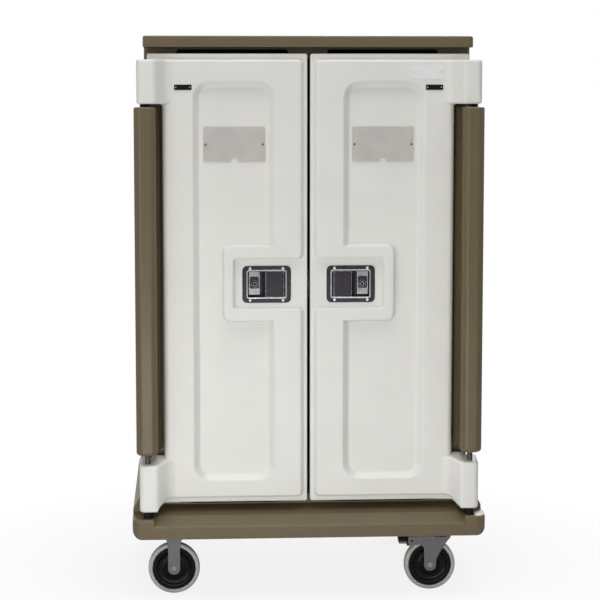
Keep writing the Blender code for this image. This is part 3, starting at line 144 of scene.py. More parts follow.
def rounded_box(a, b, c, d, radius):
    """Outline corners of a box from a to b across and from c to d up, all equally round."""
    return [(a, c, radius), (b, c, radius), (b, d, radius), (a, d, radius)]


def slab(low, high, view, radius=0.0, steps=8, low_round=0.0, high_round=0.0):
    """Box between two corners, with its four edges along the view's depth rounded."""
    across, up, along = VIEW_AXES[view]
    a, b = sorted((low[across], high[across]))
    c, d = sorted((low[up], high[up]))
    e, f = sorted((low[along], high[along]))
    return extruded(rounded_box(a, b, c, d, radius), view, e, f, steps, low_round, high_round)


def soften(shape, radius, where=None):
    """Round the edges that turn by more than 30 degrees, or those of them that pass a test."""
    shape.normal_update()
    edges = [
        edge for edge in shape.edges
        if len(edge.link_faces) == 2 and edge.calc_face_angle() > math.radians(30)
        and (where is None or where(edge))
    ]
    bmesh.ops.bevel(
        shape, geom=edges, offset=radius, offset_type="OFFSET", segments=4, profile=0.5,
        affect="EDGES", material=-1, clamp_overlap=True,
    )
    return shape


def new_object(name, data):
    """Object in the scene that holds a mesh, a lamp or a camera."""
    thing = bpy.data.objects.new(name, data)
    bpy.context.scene.collection.objects.link(thing)
    return thing


def merged(shape, other, operation):
    """One shape joined with, cut by or kept inside another; both are used up."""
    things = []
    for part in (shape, other):
        mesh = bpy.data.meshes.new("working")
        part.to_mesh(mesh)
        part.free()
        things.append(new_object("working", mesh))
    modifier = things[0].modifiers.new("merge", "BOOLEAN")
    modifier.operation = operation
    modifier.solver = "EXACT"
    modifier.object = things[1]
    bpy.context.view_layer.update()
    evaluated = things[0].evaluated_get(bpy.context.evaluated_depsgraph_get())
    result = bmesh.new()
    result.from_mesh(evaluated.to_mesh())
    evaluated.to_mesh_clear()
    for thing in things:
        mesh = thing.data
        bpy.data.objects.remove(thing)
        bpy.data.meshes.remove(mesh)
    bmesh.ops.remove_doubles(result, verts=result.verts, dist=0.000005)
    bmesh.ops.dissolve_limit(
        result, angle_limit=math.radians(0.05), verts=result.verts, edges=result.edges,
    )
    return result


def join(shape, *others):
    """A shape made one with others that touch it."""
    for other in others:
        shape = merged(shape, other, "UNION")
    return shape


def cut(shape, *others):
    """A shape with others taken away from it."""
    for other in others:
        shape = merged(shape, other, "DIFFERENCE")
    return shape


def place(name, shape, material, body, *nodes, slot, crease=32, edge=0.0):
    """Make a shape a finished piece of the cart: it rides on a body and stands for CAD nodes."""
    mesh = bpy.data.meshes.new(name)
    shape.to_mesh(mesh)
    shape.free()
    mesh.materials.append(material)
    mesh.shade_smooth()
    mesh.set_sharp_from_angle(angle=math.radians(crease))
    thing = new_object(name, mesh)
    if edge:
        rounding = thing.modifiers.new("rounded edges", "BEVEL")
        rounding.width = edge
        rounding.segments = 3
        rounding.limit_method = "ANGLE"
        rounding.angle_limit = math.radians(38)
    normals = thing.modifiers.new("flat faces stay flat", "WEIGHTED_NORMAL")
    normals.keep_sharp = True
    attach(thing, body)
    if nodes:
        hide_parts(*nodes)


def srgb(red, green, blue):
    """Linear colour from 0 to 255 screen values."""
    shares = [channel / 255 for channel in (red, green, blue)]
    return [s / 12.92 if s <= 0.04045 else ((s + 0.055) / 1.055) ** 2.4 for s in shares] + [1.0]


def new_node(tree, kind, values=(), operation=None):
    """Shader node of a kind, with its sockets set and its operation chosen."""
    node = tree.nodes.new("ShaderNode" + kind)
    for socket, value in dict(values).items():
        node.inputs[socket].default_value = value
    if operation:
        node.operation = operation
    return node


def new_material(name):
    """Material with its node tree, its Principled shader and its Object coordinates."""
    material = bpy.data.materials.new(name)
    material.use_nodes = True
    tree = material.node_tree
    vector = new_node(tree, "TexCoord").outputs["Object"]
    return material, tree, tree.nodes["Principled BSDF"], vector


def noise(tree, vector, scale, detail, roughness=0.5, stretch=(1.0, 1.0, 1.0)):
    """Noise value over Object coordinates, drawn out along an axis where stretch says so."""
    mapping = new_node(tree, "Mapping", {"Scale": stretch})
    tree.links.new(vector, mapping.inputs["Vector"])
    texture = new_node(tree, "TexNoise",
                       {"Scale": scale, "Detail": detail, "Roughness": roughness})
    tree.links.new(mapping.outputs["Vector"], texture.inputs["Vector"])
    return texture.outputs["Fac"]


def spread(tree, value, low, high, start=0.3, end=0.7):
    """A value spread from one number to another; the start and end suit a noise's range."""
    node = new_node(tree, "MapRange",
                    {"From Min": start, "From Max": end, "To Min": low, "To Max": high})
    tree.links.new(value, node.inputs["Value"])
    return node.outputs["Result"]


def tint(tree, value, low, high):
    """Colour between two, by a value from 0 to 1."""
    node = new_node(tree, "Mix")
    node.data_type = "RGBA"
    colours = [socket for socket in node.inputs if socket.type == "RGBA"]
    colours[0].default_value = low
    colours[1].default_value = high
    tree.links.new(value, node.inputs["Factor"])
    return next(socket for socket in node.outputs if socket.type == "RGBA")


def bump(tree, shader, *layers):
    """Bump nodes in a chain, one for each (height, distance, strength) layer."""
    last = None
    for height, distance, strength in layers:
        node = new_node(tree, "Bump", {"Distance": distance, "Strength": strength})
        tree.links.new(height, node.inputs["Height"])
        if last is not None:
            tree.links.new(last, node.inputs["Normal"])
        last = node.outputs["Normal"]
    tree.links.new(last, shader.inputs["Normal"])


def moulded_polyethylene(name, colour, shade, roughness, shine=0.4):
    """Roto-moulded polyethylene: a faint mottle, a slow wave in the wall and a fine mould grain."""
    material, tree, shader, vector = new_material(name)
    mottle = spread(tree, noise(tree, vector, 9.0, 3.0), 0.0, 1.0)
    tree.links.new(tint(tree, mottle, srgb(*shade), srgb(*colour)), shader.inputs["Base Color"])
    gloss = spread(tree, noise(tree, vector, 60.0, 3.0), roughness - 0.015, roughness + 0.015)
    tree.links.new(gloss, shader.inputs["Roughness"])
    shader.inputs["Specular IOR Level"].default_value = shine
    wave = noise(tree, vector, 14.0, 1.0)
    grain = noise(tree, vector, 1100.0, 2.0, 0.6)
    bump(tree, shader, (wave, 0.001, 0.12), (grain, 0.00006, 0.15))
    return material


taupe = moulded_polyethylene("taupe polyethylene", (105, 93, 69), (102, 90, 67), 0.30, 0.30)

deck = extruded([
    (deck_low.y, deck_low.z, 0), (deck_low.y, BUMPER_TOP, DECK_ROUND),
    (SLOPE_FRONT, SLOPE_TOP, 0.004), (CABINET_FRONT, DECK_TOP, DECK_ROUND),
    (CABINET_BACK + 0.004, DECK_TOP, DECK_ROUND),
    (deck_high.y, DECK_TOP - BACK_DROP, RAIL_ROUND), (deck_high.y, deck_low.z, 0),
], "side", -CORNER_BLOCK_IN - OVERLAP, CORNER_BLOCK_IN + OVERLAP)
for side in SIDES.values():
    rail = [
        (CORNER_BLOCK_IN, deck_low.z, 0), (deck_high.x, deck_low.z, BUMPER_FOOT_ROUND),
        (deck_high.x, DECK_TOP - RAIL_ROUND, RAIL_ROUND),
        (SKIRT_IN + 0.004, deck_high.z, SKIRT_ROUND), (SKIRT_IN, deck_high.z, SKIRT_ROUND),
        (SKIRT_IN, DECK_TOP, 0), (CORNER_BLOCK_IN, DECK_TOP, 0),
    ]
    deck = join(deck, extruded([(side * x, z, r) for x, z, r in rail], "front",
                               deck_low.y, deck_high.y))
    in_front = deck_low.y - CUTTER_REACH
    deck = cut(deck, extruded([
        (side * CORNER_BLOCK_IN, in_front, 0), (side * PAST_DECK_SIDE, in_front, 0),
        (side * PAST_DECK_SIDE, SKIRT_START, 0),
        (side * (CORNER_BLOCK_IN - 0.018), SKIRT_START, DECK_ROUND),
    ], "plan", CORNER_BLOCK_TOP, deck_high.z + CUTTER_REACH))
deck = merged(deck, slab((deck_low.x, deck_low.y, deck_low.z - CUTTER_REACH),
                         (deck_high.x, deck_high.y, 0.35), "plan", DECK_CORNER_ROUND, 10),
              "INTERSECT")


def round_block_top(edge):
    """Whether an edge is an outer one of a corner block's top."""
    return all(
        abs(vert.co.z - CORNER_BLOCK_TOP) < 0.0001 and vert.co.y < SKIRT_START - 0.001
        and abs(vert.co.x) > CORNER_BLOCK_IN - 0.0005
        and (abs(vert.co.x) > 0.505 or vert.co.y < deck_low.y + 0.02)
        for vert in edge.verts
    )


deck = soften(deck, 0.007, round_block_top)
place("base_deck_moulding", deck, taupe, "cart", "base_deck", slot="taupe_shell", edge=0.0035)


# Rigid casters, at the left. Each is one zinc-plated steel pressing: a plate bolted under the
# deck by four hexagon screws, a crown, and two legs that hold the wheel's axle.
ENDS = {"front": -1, "rear": 1}
WHEEL_RADIUS = 0.0762
WHEEL_Y = deck_high.y - 0.103
RIGID_X = -0.3989
RIGID_CROWN_LOW = 0.1762
RIGID_CROWN_HALF = 0.03
FLARE_LOW = RIGID_CROWN_LOW - 0.024
FLARE_ROUND = 0.018
LEG_RADIUS = 0.0178
LEG_INSIDE = 0.0195
LEG_OUTSIDE = 0.023
GAP_REACH = 0.16
PLATE_LOW = 0.1802
PLATE_TOP = 0.1842
PLATE_HALF = (0.0525, 0.045)
SCREW_AT = (0.0425, 0.035)
SCREW_ACROSS = 0.013
SCREW_HEIGHT = 0.005
AXES = {"X": Vector((1, 0, 0)), "Y": Vector((0, 1, 0)), "Z": Vector((0, 0, 1))}
OUTWARD = {"X": Vector((0, 0, 1)), "Y": Vector((0, 0, 1)), "Z": Vector((1, 0, 0))}


def plain_finish(name, shade, colour, mottle, gloss, relief, metal=0.0, shine=0.5):
    """Material whose colour, roughness and surface each follow a noise of their own.

    The mottle is a noise's settings, the gloss is one roughness or (settings, lowest, highest),
    and the relief is (settings, depth, strength).
    """
    material, tree, shader, vector = new_material(name)
    spots = spread(tree, noise(tree, vector, *mottle), 0.0, 1.0)
    tree.links.new(tint(tree, spots, srgb(*shade), srgb(*colour)), shader.inputs["Base Color"])
    if isinstance(gloss, tuple):
        haze = spread(tree, noise(tree, vector, *gloss[0]), *gloss[1:])
        tree.links.new(haze, shader.inputs["Roughness"])
    else:
        shader.inputs["Roughness"].default_value = gloss
    shader.inputs["Metallic"].default_value = metal
    shader.inputs["Specular IOR Level"].default_value = shine
    bump(tree, shader, (noise(tree, vector, *relief[0]), *relief[1:]))
    return material


zinc = plain_finish(
    "zinc-plated steel", (94, 94, 96), (101, 101, 104), (160.0, 3.0, 0.6),
    ((45.0, 2.0), 0.36, 0.52), ((500.0, 2.0), 0.0001, 0.2), metal=0.75,
)


def turned(profile, centre, axis, segments=48, ring=False):
    """Shape spun about an axis through a centre, from (radius, distance along) points."""
    shape = bmesh.new()
    centre = Vector(centre)
    verts = [
        shape.verts.new(centre + OUTWARD[axis] * radius + AXES[axis] * distance)
        for radius, distance in profile
    ]
    pairs = list(zip(verts, verts[1:]))
    if ring:
        pairs.append((verts[-1], verts[0]))
    edges = [shape.edges.new(pair) for pair in pairs]
    bmesh.ops.spin(
        shape, geom=verts + edges, cent=centre, axis=AXES[axis], dvec=(0, 0, 0),
        angle=math.tau, steps=segments, use_merge=True,
    )
    bmesh.ops.remove_doubles(shape, verts=shape.verts, dist=0.00001)
    bmesh.ops.recalc_face_normals(shape, faces=shape.faces)
    return shape


def together(*shapes):
    """Shapes that stand clear of each other, in one mesh."""
    mesh = bpy.data.meshes.new("working")
    result = bmesh.new()
    for shape in shapes:
        shape.to_mesh(mesh)
        shape.free()
        result.from_mesh(mesh)
    bpy.data.meshes.remove(mesh)
    return result


def hexagon_screw(x, y):
    """Head of a hexagon screw that stands under a caster's plate, with its washer."""
    head = turned([
        (0, 0), (SCREW_ACROSS / 2, 0), (SCREW_ACROSS / 2, -SCREW_HEIGHT * 0.8),
        (SCREW_ACROSS * 0.42, -SCREW_HEIGHT), (0, -SCREW_HEIGHT),
    ], (x, y, PLATE_LOW - 0.001), "Z", 6)
    washer_radius = SCREW_ACROSS * 0.68
    washer = turned([(0, 0), (washer_radius, 0), (washer_radius, -0.0012), (0, -0.0012)],
                    (x, y, PLATE_LOW + 0.0002), "Z", 24)
    return together(head, washer)


def caster_plate(x, y):
    """A caster's plate and the heads of its four screws."""
    screws = [
        hexagon_screw(x + across * SCREW_AT[0], y + deep * SCREW_AT[1])
        for across in (-1, 1) for deep in (-1, 1)
    ]
    plate = slab((x - PLATE_HALF[0], y - PLATE_HALF[1], PLATE_LOW),
                 (x + PLATE_HALF[0], y + PLATE_HALF[1], PLATE_TOP), "plan", 0.008, 5)
    return plate, together(*screws)


def leg_foot(x):
    """Outline corners of a leg's foot, which is round about the axle."""
    low = WHEEL_RADIUS - LEG_RADIUS
    return [(x - LEG_RADIUS, low, LEG_RADIUS - 0.0001), (x + LEG_RADIUS, low, LEG_RADIUS - 0.0001)]


def wheel_gap(x, y, top):
    """Cutter for the room between a fork's two legs."""
    return slab((x - GAP_REACH, y - LEG_INSIDE, 0), (x + GAP_REACH, y + LEG_INSIDE, top),
                "side", 0.004, 4)


for end_name, end in ENDS.items():
    x, y = RIGID_X, end * WHEEL_Y
    crown_top = PLATE_LOW + OVERLAP
    fork = extruded(leg_foot(x) + [
        (x + LEG_RADIUS, FLARE_LOW, FLARE_ROUND), (x + RIGID_CROWN_HALF, RIGID_CROWN_LOW, 0),
        (x + RIGID_CROWN_HALF, crown_top, 0), (x - RIGID_CROWN_HALF, crown_top, 0),
        (x - RIGID_CROWN_HALF, RIGID_CROWN_LOW, 0), (x - LEG_RADIUS, FLARE_LOW, FLARE_ROUND),
    ], "front", y - LEG_OUTSIDE, y + LEG_OUTSIDE)
    fork = cut(fork, wheel_gap(x, y, RIGID_CROWN_LOW))
    plate, screws = caster_plate(x, y)
    fork = together(join(fork, plate), screws)
    place("caster_fork_rigid_" + end_name, fork, zinc, "cart", "fork_rigid_" + end_name,
          slot="zinc", edge=0.0007)


# Swivel casters, at the right. The plate carries a ball race and a kingpin, and the fork hangs
# from these by its own pressed crown, whose two arms reach inwards to hold the brake pedal.
SWIVEL_X = 0.3644
KINGPIN_X = 0.3944
CROWN_LOW = 0.1599
CROWN_TOP = 0.1639
CROWN_REACH = 0.061
ARM_LOW = 0.1382
ARM_END = 0.2984
PEDAL_PIVOT = 0.3094
PEDAL_LEVEL = 0.1497


def drill(centre, axis, radius, low, high, segments=24):
    """Cutter for a round hole, between two distances along its axis."""
    return turned([(0, low), (radius, low), (radius, high), (0, high)], centre, axis, segments)


for end_name, end in ENDS.items():
    x, y = SWIVEL_X, end * WHEEL_Y
    plate, screws = caster_plate(KINGPIN_X, y)
    race = turned([
        (0, PLATE_LOW + 0.001), (0.0315, PLATE_LOW + 0.001), (0.0315, 0.1765), (0.029, 0.1745),
        (0.0275, 0.1715), (0.029, 0.169), (0.029, 0.165), (0.0275, 0.1642), (0, 0.1642),
    ], (KINGPIN_X, y, 0), "Z")
    kingpin = turned([
        (0, 0.17), (0.006, 0.17), (0.006, 0.1596), (0.009, 0.1596), (0.009, 0.1586),
        (0.008, 0.1581), (0, 0.1581),
    ], (KINGPIN_X, y, 0), "Z", 24)
    place("caster_plate_swivel_" + end_name, together(join(plate, race), kingpin, screws), zinc,
          "cart", "swivel_plate_" + end_name, slot="zinc", edge=0.0006)

    arm_top = CROWN_TOP - 0.0002
    fork = extruded(leg_foot(x) + [
        (x + LEG_RADIUS, WHEEL_RADIUS + LEG_RADIUS, 0.032), (x + 0.043, ARM_LOW, 0.018),
        (x + CROWN_REACH, CROWN_LOW, 0), (x + CROWN_REACH, arm_top, 0),
        (ARM_END, arm_top, 0.004), (ARM_END, ARM_LOW, 0.006), (x - LEG_RADIUS, ARM_LOW, 0.016),
    ], "front", y - LEG_OUTSIDE, y + LEG_OUTSIDE)
    turntable = turned([
        (0.0066, 0.1601), (0.029, 0.1601), (0.03, 0.1608), (0.03, 0.163), (0.029, 0.1638),
        (0.0066, 0.1638),
    ], (KINGPIN_X, y, 0), "Z", ring=True)
    fork = join(cut(fork, wheel_gap(x, y, CROWN_LOW)), turntable)
    fork = cut(fork, drill((KINGPIN_X, y, 0), "Z", 0.0064, 0.15, 0.17),
               drill((PEDAL_PIVOT, y, PEDAL_LEVEL), "Y", 0.0034, 0.03, -0.03, 20))
    place("caster_fork_swivel_" + end_name, fork, zinc, "swivel_" + end_name,
          "fork_swivel_" + end_name, slot="zinc", edge=0.0007)


# Axle bolts. Each is a bright zinc-plated steel bolt through the wheel and both legs of its
# fork, closed outside either leg by a low round head.
bolt_zinc = plain_finish(
    "bright zinc", (132, 131, 137), (142, 141, 147), (200.0, 2.0), 0.35,
    ((500.0, 2.0), 0.0001, 0.2), metal=0.7,
)

BOLT_HEAD = [(0, 0.0263), (0.0026, 0.0263), (0.003, 0.0256), (0.0062, 0.0256),
             (0.0077, 0.0246), (0.0077, 0.0233), (0.006, 0.0233)]
WHEEL_CENTRES = {
    (kind, end_name): (x, end * WHEEL_Y, WHEEL_RADIUS)
    for kind, x in (("rigid", RIGID_X), ("swivel", SWIVEL_X)) for end_name, end in ENDS.items()
}


def both_ways(profile):
    """A profile, and the same one turned about to end on the other side."""
    return profile + [(radius, -distance) for radius, distance in reversed(profile)]


for (kind, end_name), centre in WHEEL_CENTRES.items():
    place("axle_bolt_%s_%s" % (kind, end_name), turned(both_ways(BOLT_HEAD), centre, "Y", 32),
          bolt_zinc, "cart" if kind == "rigid" else "swivel_" + end_name,
          "axle_%s_%s" % (kind, end_name), slot="zinc")


# Wheels. A hub moulded in black nylon, with a dished web between its rim and a stepped bearing
# boss, carries a light grey non-marking tyre whose shoulders are rounded.
black_nylon = plain_finish(
    "black nylon", (13, 13, 14), (17, 17, 18), (30.0, 3.0), ((90.0, 2.0), 0.20, 0.28),
    ((1400.0, 1.0), 0.00003, 0.15), shine=0.12,
)
tyre_rubber = plain_finish(
    "grey non-marking tyre", (168, 166, 160), (184, 182, 176), (22.0, 4.0, 0.6),
    ((70.0, 3.0), 0.6, 0.75), ((700.0, 3.0, 0.7), 0.0003, 0.4),
)

HUB_FACE = [
    (0.0063, 0.0158), (0.0135, 0.0158), (0.015, 0.0145), (0.0165, 0.0112), (0.0235, 0.0104),
    (0.025, 0.0126), (0.0285, 0.0126), (0.03, 0.0098), (0.0345, 0.0078), (0.044, 0.0078),
    (0.0485, 0.0104), (0.051, 0.0138), (0.054, 0.0145), (0.062, 0.0145), (0.0632, 0.0133),
]
TYRE_FACE = [(0.0637, 0.014), (0.0655, 0.0152), (0.069, 0.016), (0.0718, 0.0157),
             (0.0742, 0.014), (0.0756, 0.0112), (WHEEL_RADIUS, 0.007)]
TYRE_FACE_BACK = [(radius, -distance) for radius, distance in reversed(TYRE_FACE)]

for (kind, end_name), centre in WHEEL_CENTRES.items():
    body = "%s_wheel_%s" % (kind, end_name)
    hub = turned(both_ways(HUB_FACE), centre, "Y", 64, True)
    place("wheel_hub_%s_%s" % (kind, end_name), hub, black_nylon, body,
          "hub_%s_%s" % (kind, end_name), slot="black_plastic", crease=40)
    tyre = turned(TYRE_FACE + [(WHEEL_RADIUS, 0.0)] + TYRE_FACE_BACK, centre, "Y", 96, True)
    place("wheel_tyre_%s_%s" % (kind, end_name), tyre, tyre_rubber, body,
          "tyre_%s_%s" % (kind, end_name), slot="tyre", crease=60)


# Foot brakes. A black nylon pedal with a thick ribbed tread turns on a pin between the fork's
# arms. Its shoe stands over the tyre, and a zinc-plated steel toe bar lies below the tread.
PEDAL_HALF = 0.017
PEDAL_ROUND = 0.001
PEDAL_REAR = 0.3184
RIB_HALF = 0.014
RIB_WIDTH = 0.002
TOE_BAR_HALF = 0.0165
SHOE_HALF = 0.01

for end_name, end in ENDS.items():
    y = end * WHEEL_Y
    pedal = extruded([
        (0.2704, 0.1478, PEDAL_ROUND), (PEDAL_REAR, 0.1478, PEDAL_ROUND),
        (PEDAL_REAR, 0.1517, PEDAL_ROUND), (0.2972, 0.1517, PEDAL_ROUND),
        (0.2962, 0.158, 0.0015), (0.2704, 0.157, 0.003),
    ], "front", y - PEDAL_HALF, y + PEDAL_HALF, 4, 0.0006, 0.0006)
    ribs = [
        slab((rib, y - RIB_HALF, 0.156), (rib + RIB_WIDTH, y + RIB_HALF, 0.159), "plan",
             0.0009, 3, 0, 0.0006)
        for rib in (0.2745, 0.279, 0.2835, 0.288)
    ]
    toe_bar = slab((0.2716, y - TOE_BAR_HALF, 0.1404), (0.2958, y + TOE_BAR_HALF, 0.1474),
                   "front", 0.002, 4, 0.0008, 0.0008)
    place("toe_bar_" + end_name, toe_bar, zinc, "pedal_" + end_name, slot="zinc")
    shoe = slab((0.2964, y - SHOE_HALF, 0.1322), (0.3064, y + SHOE_HALF, 0.149), "side",
                0.0015, 3)
    pin = turned(both_ways([(0, 0.023), (0.0022, 0.023), (0.003, 0.0222)]),
                 (PEDAL_PIVOT, y, PEDAL_LEVEL), "Y", 20)
    place("foot_brake_" + end_name, join(pedal, shoe, pin, *ribs), black_nylon,
          "pedal_" + end_name, "brake_pedal_" + end_name, slot="black_plastic")


# Cabinet skin. One hollow moulding in taupe polyethylene with rounded corners: two mouths and
# the tapered vent notches in its front, and shallow stiffening panels in its sides and back.
cabinet_low, cabinet_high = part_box("cabinet_shell")
SKIN = 0.006
MOUTH_LOW = Vector((0.017, cabinet_low.y, 0.296))
MOUTH_HIGH = Vector((0.411, cabinet_low.y + SKIN, 1.575))
FLUSH = 0.00002
MOUTH_ROUND = 0.004
STIFFENER_LOW = 0.3608
STIFFENER_HIGH = 1.5108
STIFFENER_ROUND = 0.04
STIFFENER_HALF = 0.407
UPPER_NOTCH = [(0.0527, 1.591), (0.3867, 1.591), (0.3777, 1.606), (0.0617, 1.606)]
LOWER_NOTCH = [(0.0907, 0.2648), (0.3497, 0.2648), (0.3587, 0.28), (0.0817, 0.28)]
NOTCH_FLOOR = cabinet_low.y + 0.0045


def s_profile(width, height, first, last, steps=6):
    """(inset, rise) steps of a wall that leaves one level and reaches another in arcs."""
    bends = first + last
    reach = math.hypot(width, height - bends)
    lean = math.atan2(height - bends, width) + math.asin(min(1.0, bends / reach))
    straight = (height - bends * (1 - math.cos(lean))) / math.sin(lean)
    points = [(0.0, 0.0)]
    for i in range(1, steps + 1):
        turn = lean * i / steps
        points.append((first * math.sin(turn), first * (1 - math.cos(turn))))
    if straight > 0.00001:
        inset, rise = points[-1]
        points.append((inset + straight * math.cos(lean), rise + straight * math.sin(lean)))
    inset, rise = points[-1]
    for i in range(1, steps + 1):
        turn = lean * (1 - i / steps)
        points.append((inset + last * (math.sin(lean) - math.sin(turn)),
                       rise + last * (math.cos(turn) - math.cos(lean))))
    return [(b[0] - a[0], b[1] - a[1]) for a, b in zip(points, points[1:])]


def stepped(corners, view, start, surface, profile, steps=8):
    """Shape from a plane to a surface, and onwards from there with its outline drawn in."""
    shape = extruded(corners, view, min(start, surface), max(start, surface), steps)
    toward = 1 if surface > start else -1
    step_face(shape, end_face(shape, VIEW_AXES[view][2], toward), profile)
    return shape


skin = slab(cabinet_low, cabinet_high, "plan", 0.012, 6)
wall = Vector((SKIN, SKIN, SKIN))
skin = cut(skin, slab(cabinet_low + wall, cabinet_high - wall, "plan", 0.008, 4))
shallow = s_profile(0.01, 0.003, 0.006, 0.006, 4)
for side in SIDES.values():
    mouth = slab(
        (side * MOUTH_LOW.x, MOUTH_LOW.y - CUTTER_REACH, MOUTH_LOW.z),
        (side * MOUTH_HIGH.x, MOUTH_HIGH.y + OVERLAP, MOUTH_HIGH.z), "front", MOUTH_ROUND, 4,
    )
    notches = [
        extruded([(side * x, z, 0.002) for x, z in notch], "front",
                 cabinet_low.y - CUTTER_REACH, NOTCH_FLOOR, 4)
        for notch in (UPPER_NOTCH, LOWER_NOTCH)
    ]
    panel = stepped(
        rounded_box(cabinet_low.y + 0.056, cabinet_high.y - 0.06, STIFFENER_LOW, STIFFENER_HIGH,
                    STIFFENER_ROUND),
        "side", side * (cabinet_high.x + CUTTER_REACH), side * (cabinet_high.x + FLUSH), shallow,
    )
    skin = cut(skin, mouth, *notches, panel)
skin = cut(skin, stepped(
    rounded_box(-STIFFENER_HALF, STIFFENER_HALF, STIFFENER_LOW, STIFFENER_HIGH, STIFFENER_ROUND),
    "front", cabinet_high.y + CUTTER_REACH, cabinet_high.y + FLUSH, shallow,
))
place("cabinet_skin", skin, taupe, "cart", "cabinet_shell", slot="taupe_shell", edge=0.0012)


# Vent inlays: painted shade. A near-black strip, cut to the outline of its notch, lies on the
# floor of each notch above and below the doors and stands in for the shade in the deep vent gap.
# Near-black colour painted in as the shade of the vents and of the gap between the doors.
painted_shade_black = plain_finish(
    "painted shade in vents and gaps", (6, 6, 6), (14, 13, 12), (300.0, 3.0), 0.95, ((900.0, 2.0), 0.0006, 0.8),
    shine=0.1,
)

for side_name, side in SIDES.items():
    for level, notch in (("upper", UPPER_NOTCH), ("lower", LOWER_NOTCH)):
        middle_z = (notch[0][1] + notch[2][1]) / 2
        middle_x = (notch[0][0] + notch[1][0]) / 2
        notch_shade = extruded(
            [(side * (middle_x + (x - middle_x) * 0.997), middle_z + (z - middle_z) * 0.93, 0.0015)
             for x, z in notch], "front", NOTCH_FLOOR - 0.0025, NOTCH_FLOOR - 0.0001, 3, 0.0008,
        )
        place("painted_vent_shade_%s_%s" % (level, side_name), notch_shade, painted_shade_black, "cart",
              slot="black_plastic")


# Insulation. Rigid foam, poured between the skin and the liners, fills that space and sets
# there, with no fasteners. It keeps the CAD solid's shape.
foam, tree, shader, vector = new_material("cast insulating foam")
cells = new_node(tree, "TexVoronoi", {"Scale": 420.0})
tree.links.new(vector, cells.inputs["Vector"])
tree.links.new(tint(tree, cells.outputs["Distance"], srgb(196, 170, 110), srgb(222, 200, 142)),
               shader.inputs["Base Color"])
shader.inputs["Roughness"].default_value = 0.9
bump(tree, shader, (cells.outputs["Distance"], 0.001, 0.5))


def finish_node(name, material):
    """Give a CAD solid, whose own shape serves, its material."""
    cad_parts[name].material_slots[0].material = material


finish_node("insulation_core", foam)


# Compartment liners. Each is a smooth tub in light grey polyethylene, set into the mouth from
# the front, with rounded inner corners that wipe clean.
liner_grey = moulded_polyethylene("liner polyethylene", (190, 187, 178), (183, 180, 171), 0.38)

LINER_WALL = 0.003


def place_pair(name, shape, material, body, node=None, **finish):
    """Place a shape made at the right on both sides, with the side's name after each name."""
    for side_name, side in SIDES.items():
        made = shape.copy()
        if side < 0:
            bmesh.ops.scale(made, vec=(-1, 1, 1), verts=made.verts)
            bmesh.ops.recalc_face_normals(made, faces=made.faces)
        carrier = body if body == "cart" else body + side_name
        nodes = [node + side_name] if node else []
        place(name + side_name, made, material, carrier, *nodes, **finish)


liner_low, liner_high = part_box("liner_right")
tub = slab(liner_low, liner_high, "front", MOUTH_ROUND, 4)
tub = cut(tub, slab(
    (liner_low.x + LINER_WALL, liner_low.y - CUTTER_REACH, liner_low.z + LINER_WALL),
    (liner_high.x - LINER_WALL, liner_high.y - LINER_WALL, liner_high.z - LINER_WALL),
    "front", 0.009, 6, 0, 0.009,
))
place_pair("compartment_liner_", tub, liner_grey, "cart", "liner_", slot="liner")


# Tray racks. Brushed stainless sheet with a folded ledge for each tray, hooked to the liner's
# walls. The paddles' pins and the bolts have the same finish.
BRUSHED = (900.0, 2.0, 0.5, (1.0, 0.02, 1.0))
stainless = plain_finish(
    "brushed stainless steel", (168, 168, 166), (180, 180, 178), BRUSHED, (BRUSHED, 0.28, 0.34),
    (BRUSHED, 0.00005, 0.15), metal=1.0,
)
for side_name in SIDES:
    for wall in ("inner", "outer"):
        finish_node("tray_rack_%s_%s" % (side_name, wall), stainless)


# Lid. A slab moulded in the same taupe polyethylene as the deck, screwed to the cabinet's top,
# with a shallow tray in its upper face that keeps things from sliding off.
LID_RIM = 0.03
lid_low, lid_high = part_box("top_panel")
lid = slab(lid_low, lid_high, "plan", 0.018, 8, 0.0035, 0.0055)
lid = cut(lid, stepped(
    rounded_box(lid_low.x + LID_RIM, lid_high.x - LID_RIM, lid_low.y + LID_RIM,
                lid_high.y - LID_RIM, 0.02),
    "plan", lid_high.z + CUTTER_REACH, lid_high.z + FLUSH, s_profile(0.009, 0.004, 0.005, 0.005, 4),
))
place("lid", lid, taupe, "cart", "top_panel", slot="taupe_shell")


# Handle posts. A grip bar in the shape of half an octagon, on a column that joins it to the
# cabinet's front: one taupe moulding, bored for the hinge rod.
HINGE_X = 0.473
HINGE_Y = DOOR_FACE - 0.028
POST_LOW = 0.4293
POST_HIGH = 1.4392
ROD_BORE = 0.0084
POST_OUTLINE = [
    (-0.0325, -0.0135), (-0.016, -0.03), (0.016, -0.03), (0.03, -0.015), (0.03, 0.05),
    (0.0425, 0.062), (0.0425, 0.09), (-0.009, 0.09), (-0.009, 0.016), (-0.0325, 0.006),
]
post = extruded([(HINGE_X - x, HINGE_Y + y, 0) for x, y in POST_OUTLINE], "plan",
                POST_LOW, POST_HIGH, 1, 0.011, 0.005)
post = soften(post, 0.005)
post = cut(post, drill((HINGE_X, HINGE_Y, 0), "Z", ROD_BORE, POST_LOW - CUTTER_REACH,
                       POST_HIGH + CUTTER_REACH))
place_pair("grip_post_", post, taupe, "cart", "handle_post_", slot="taupe_shell")


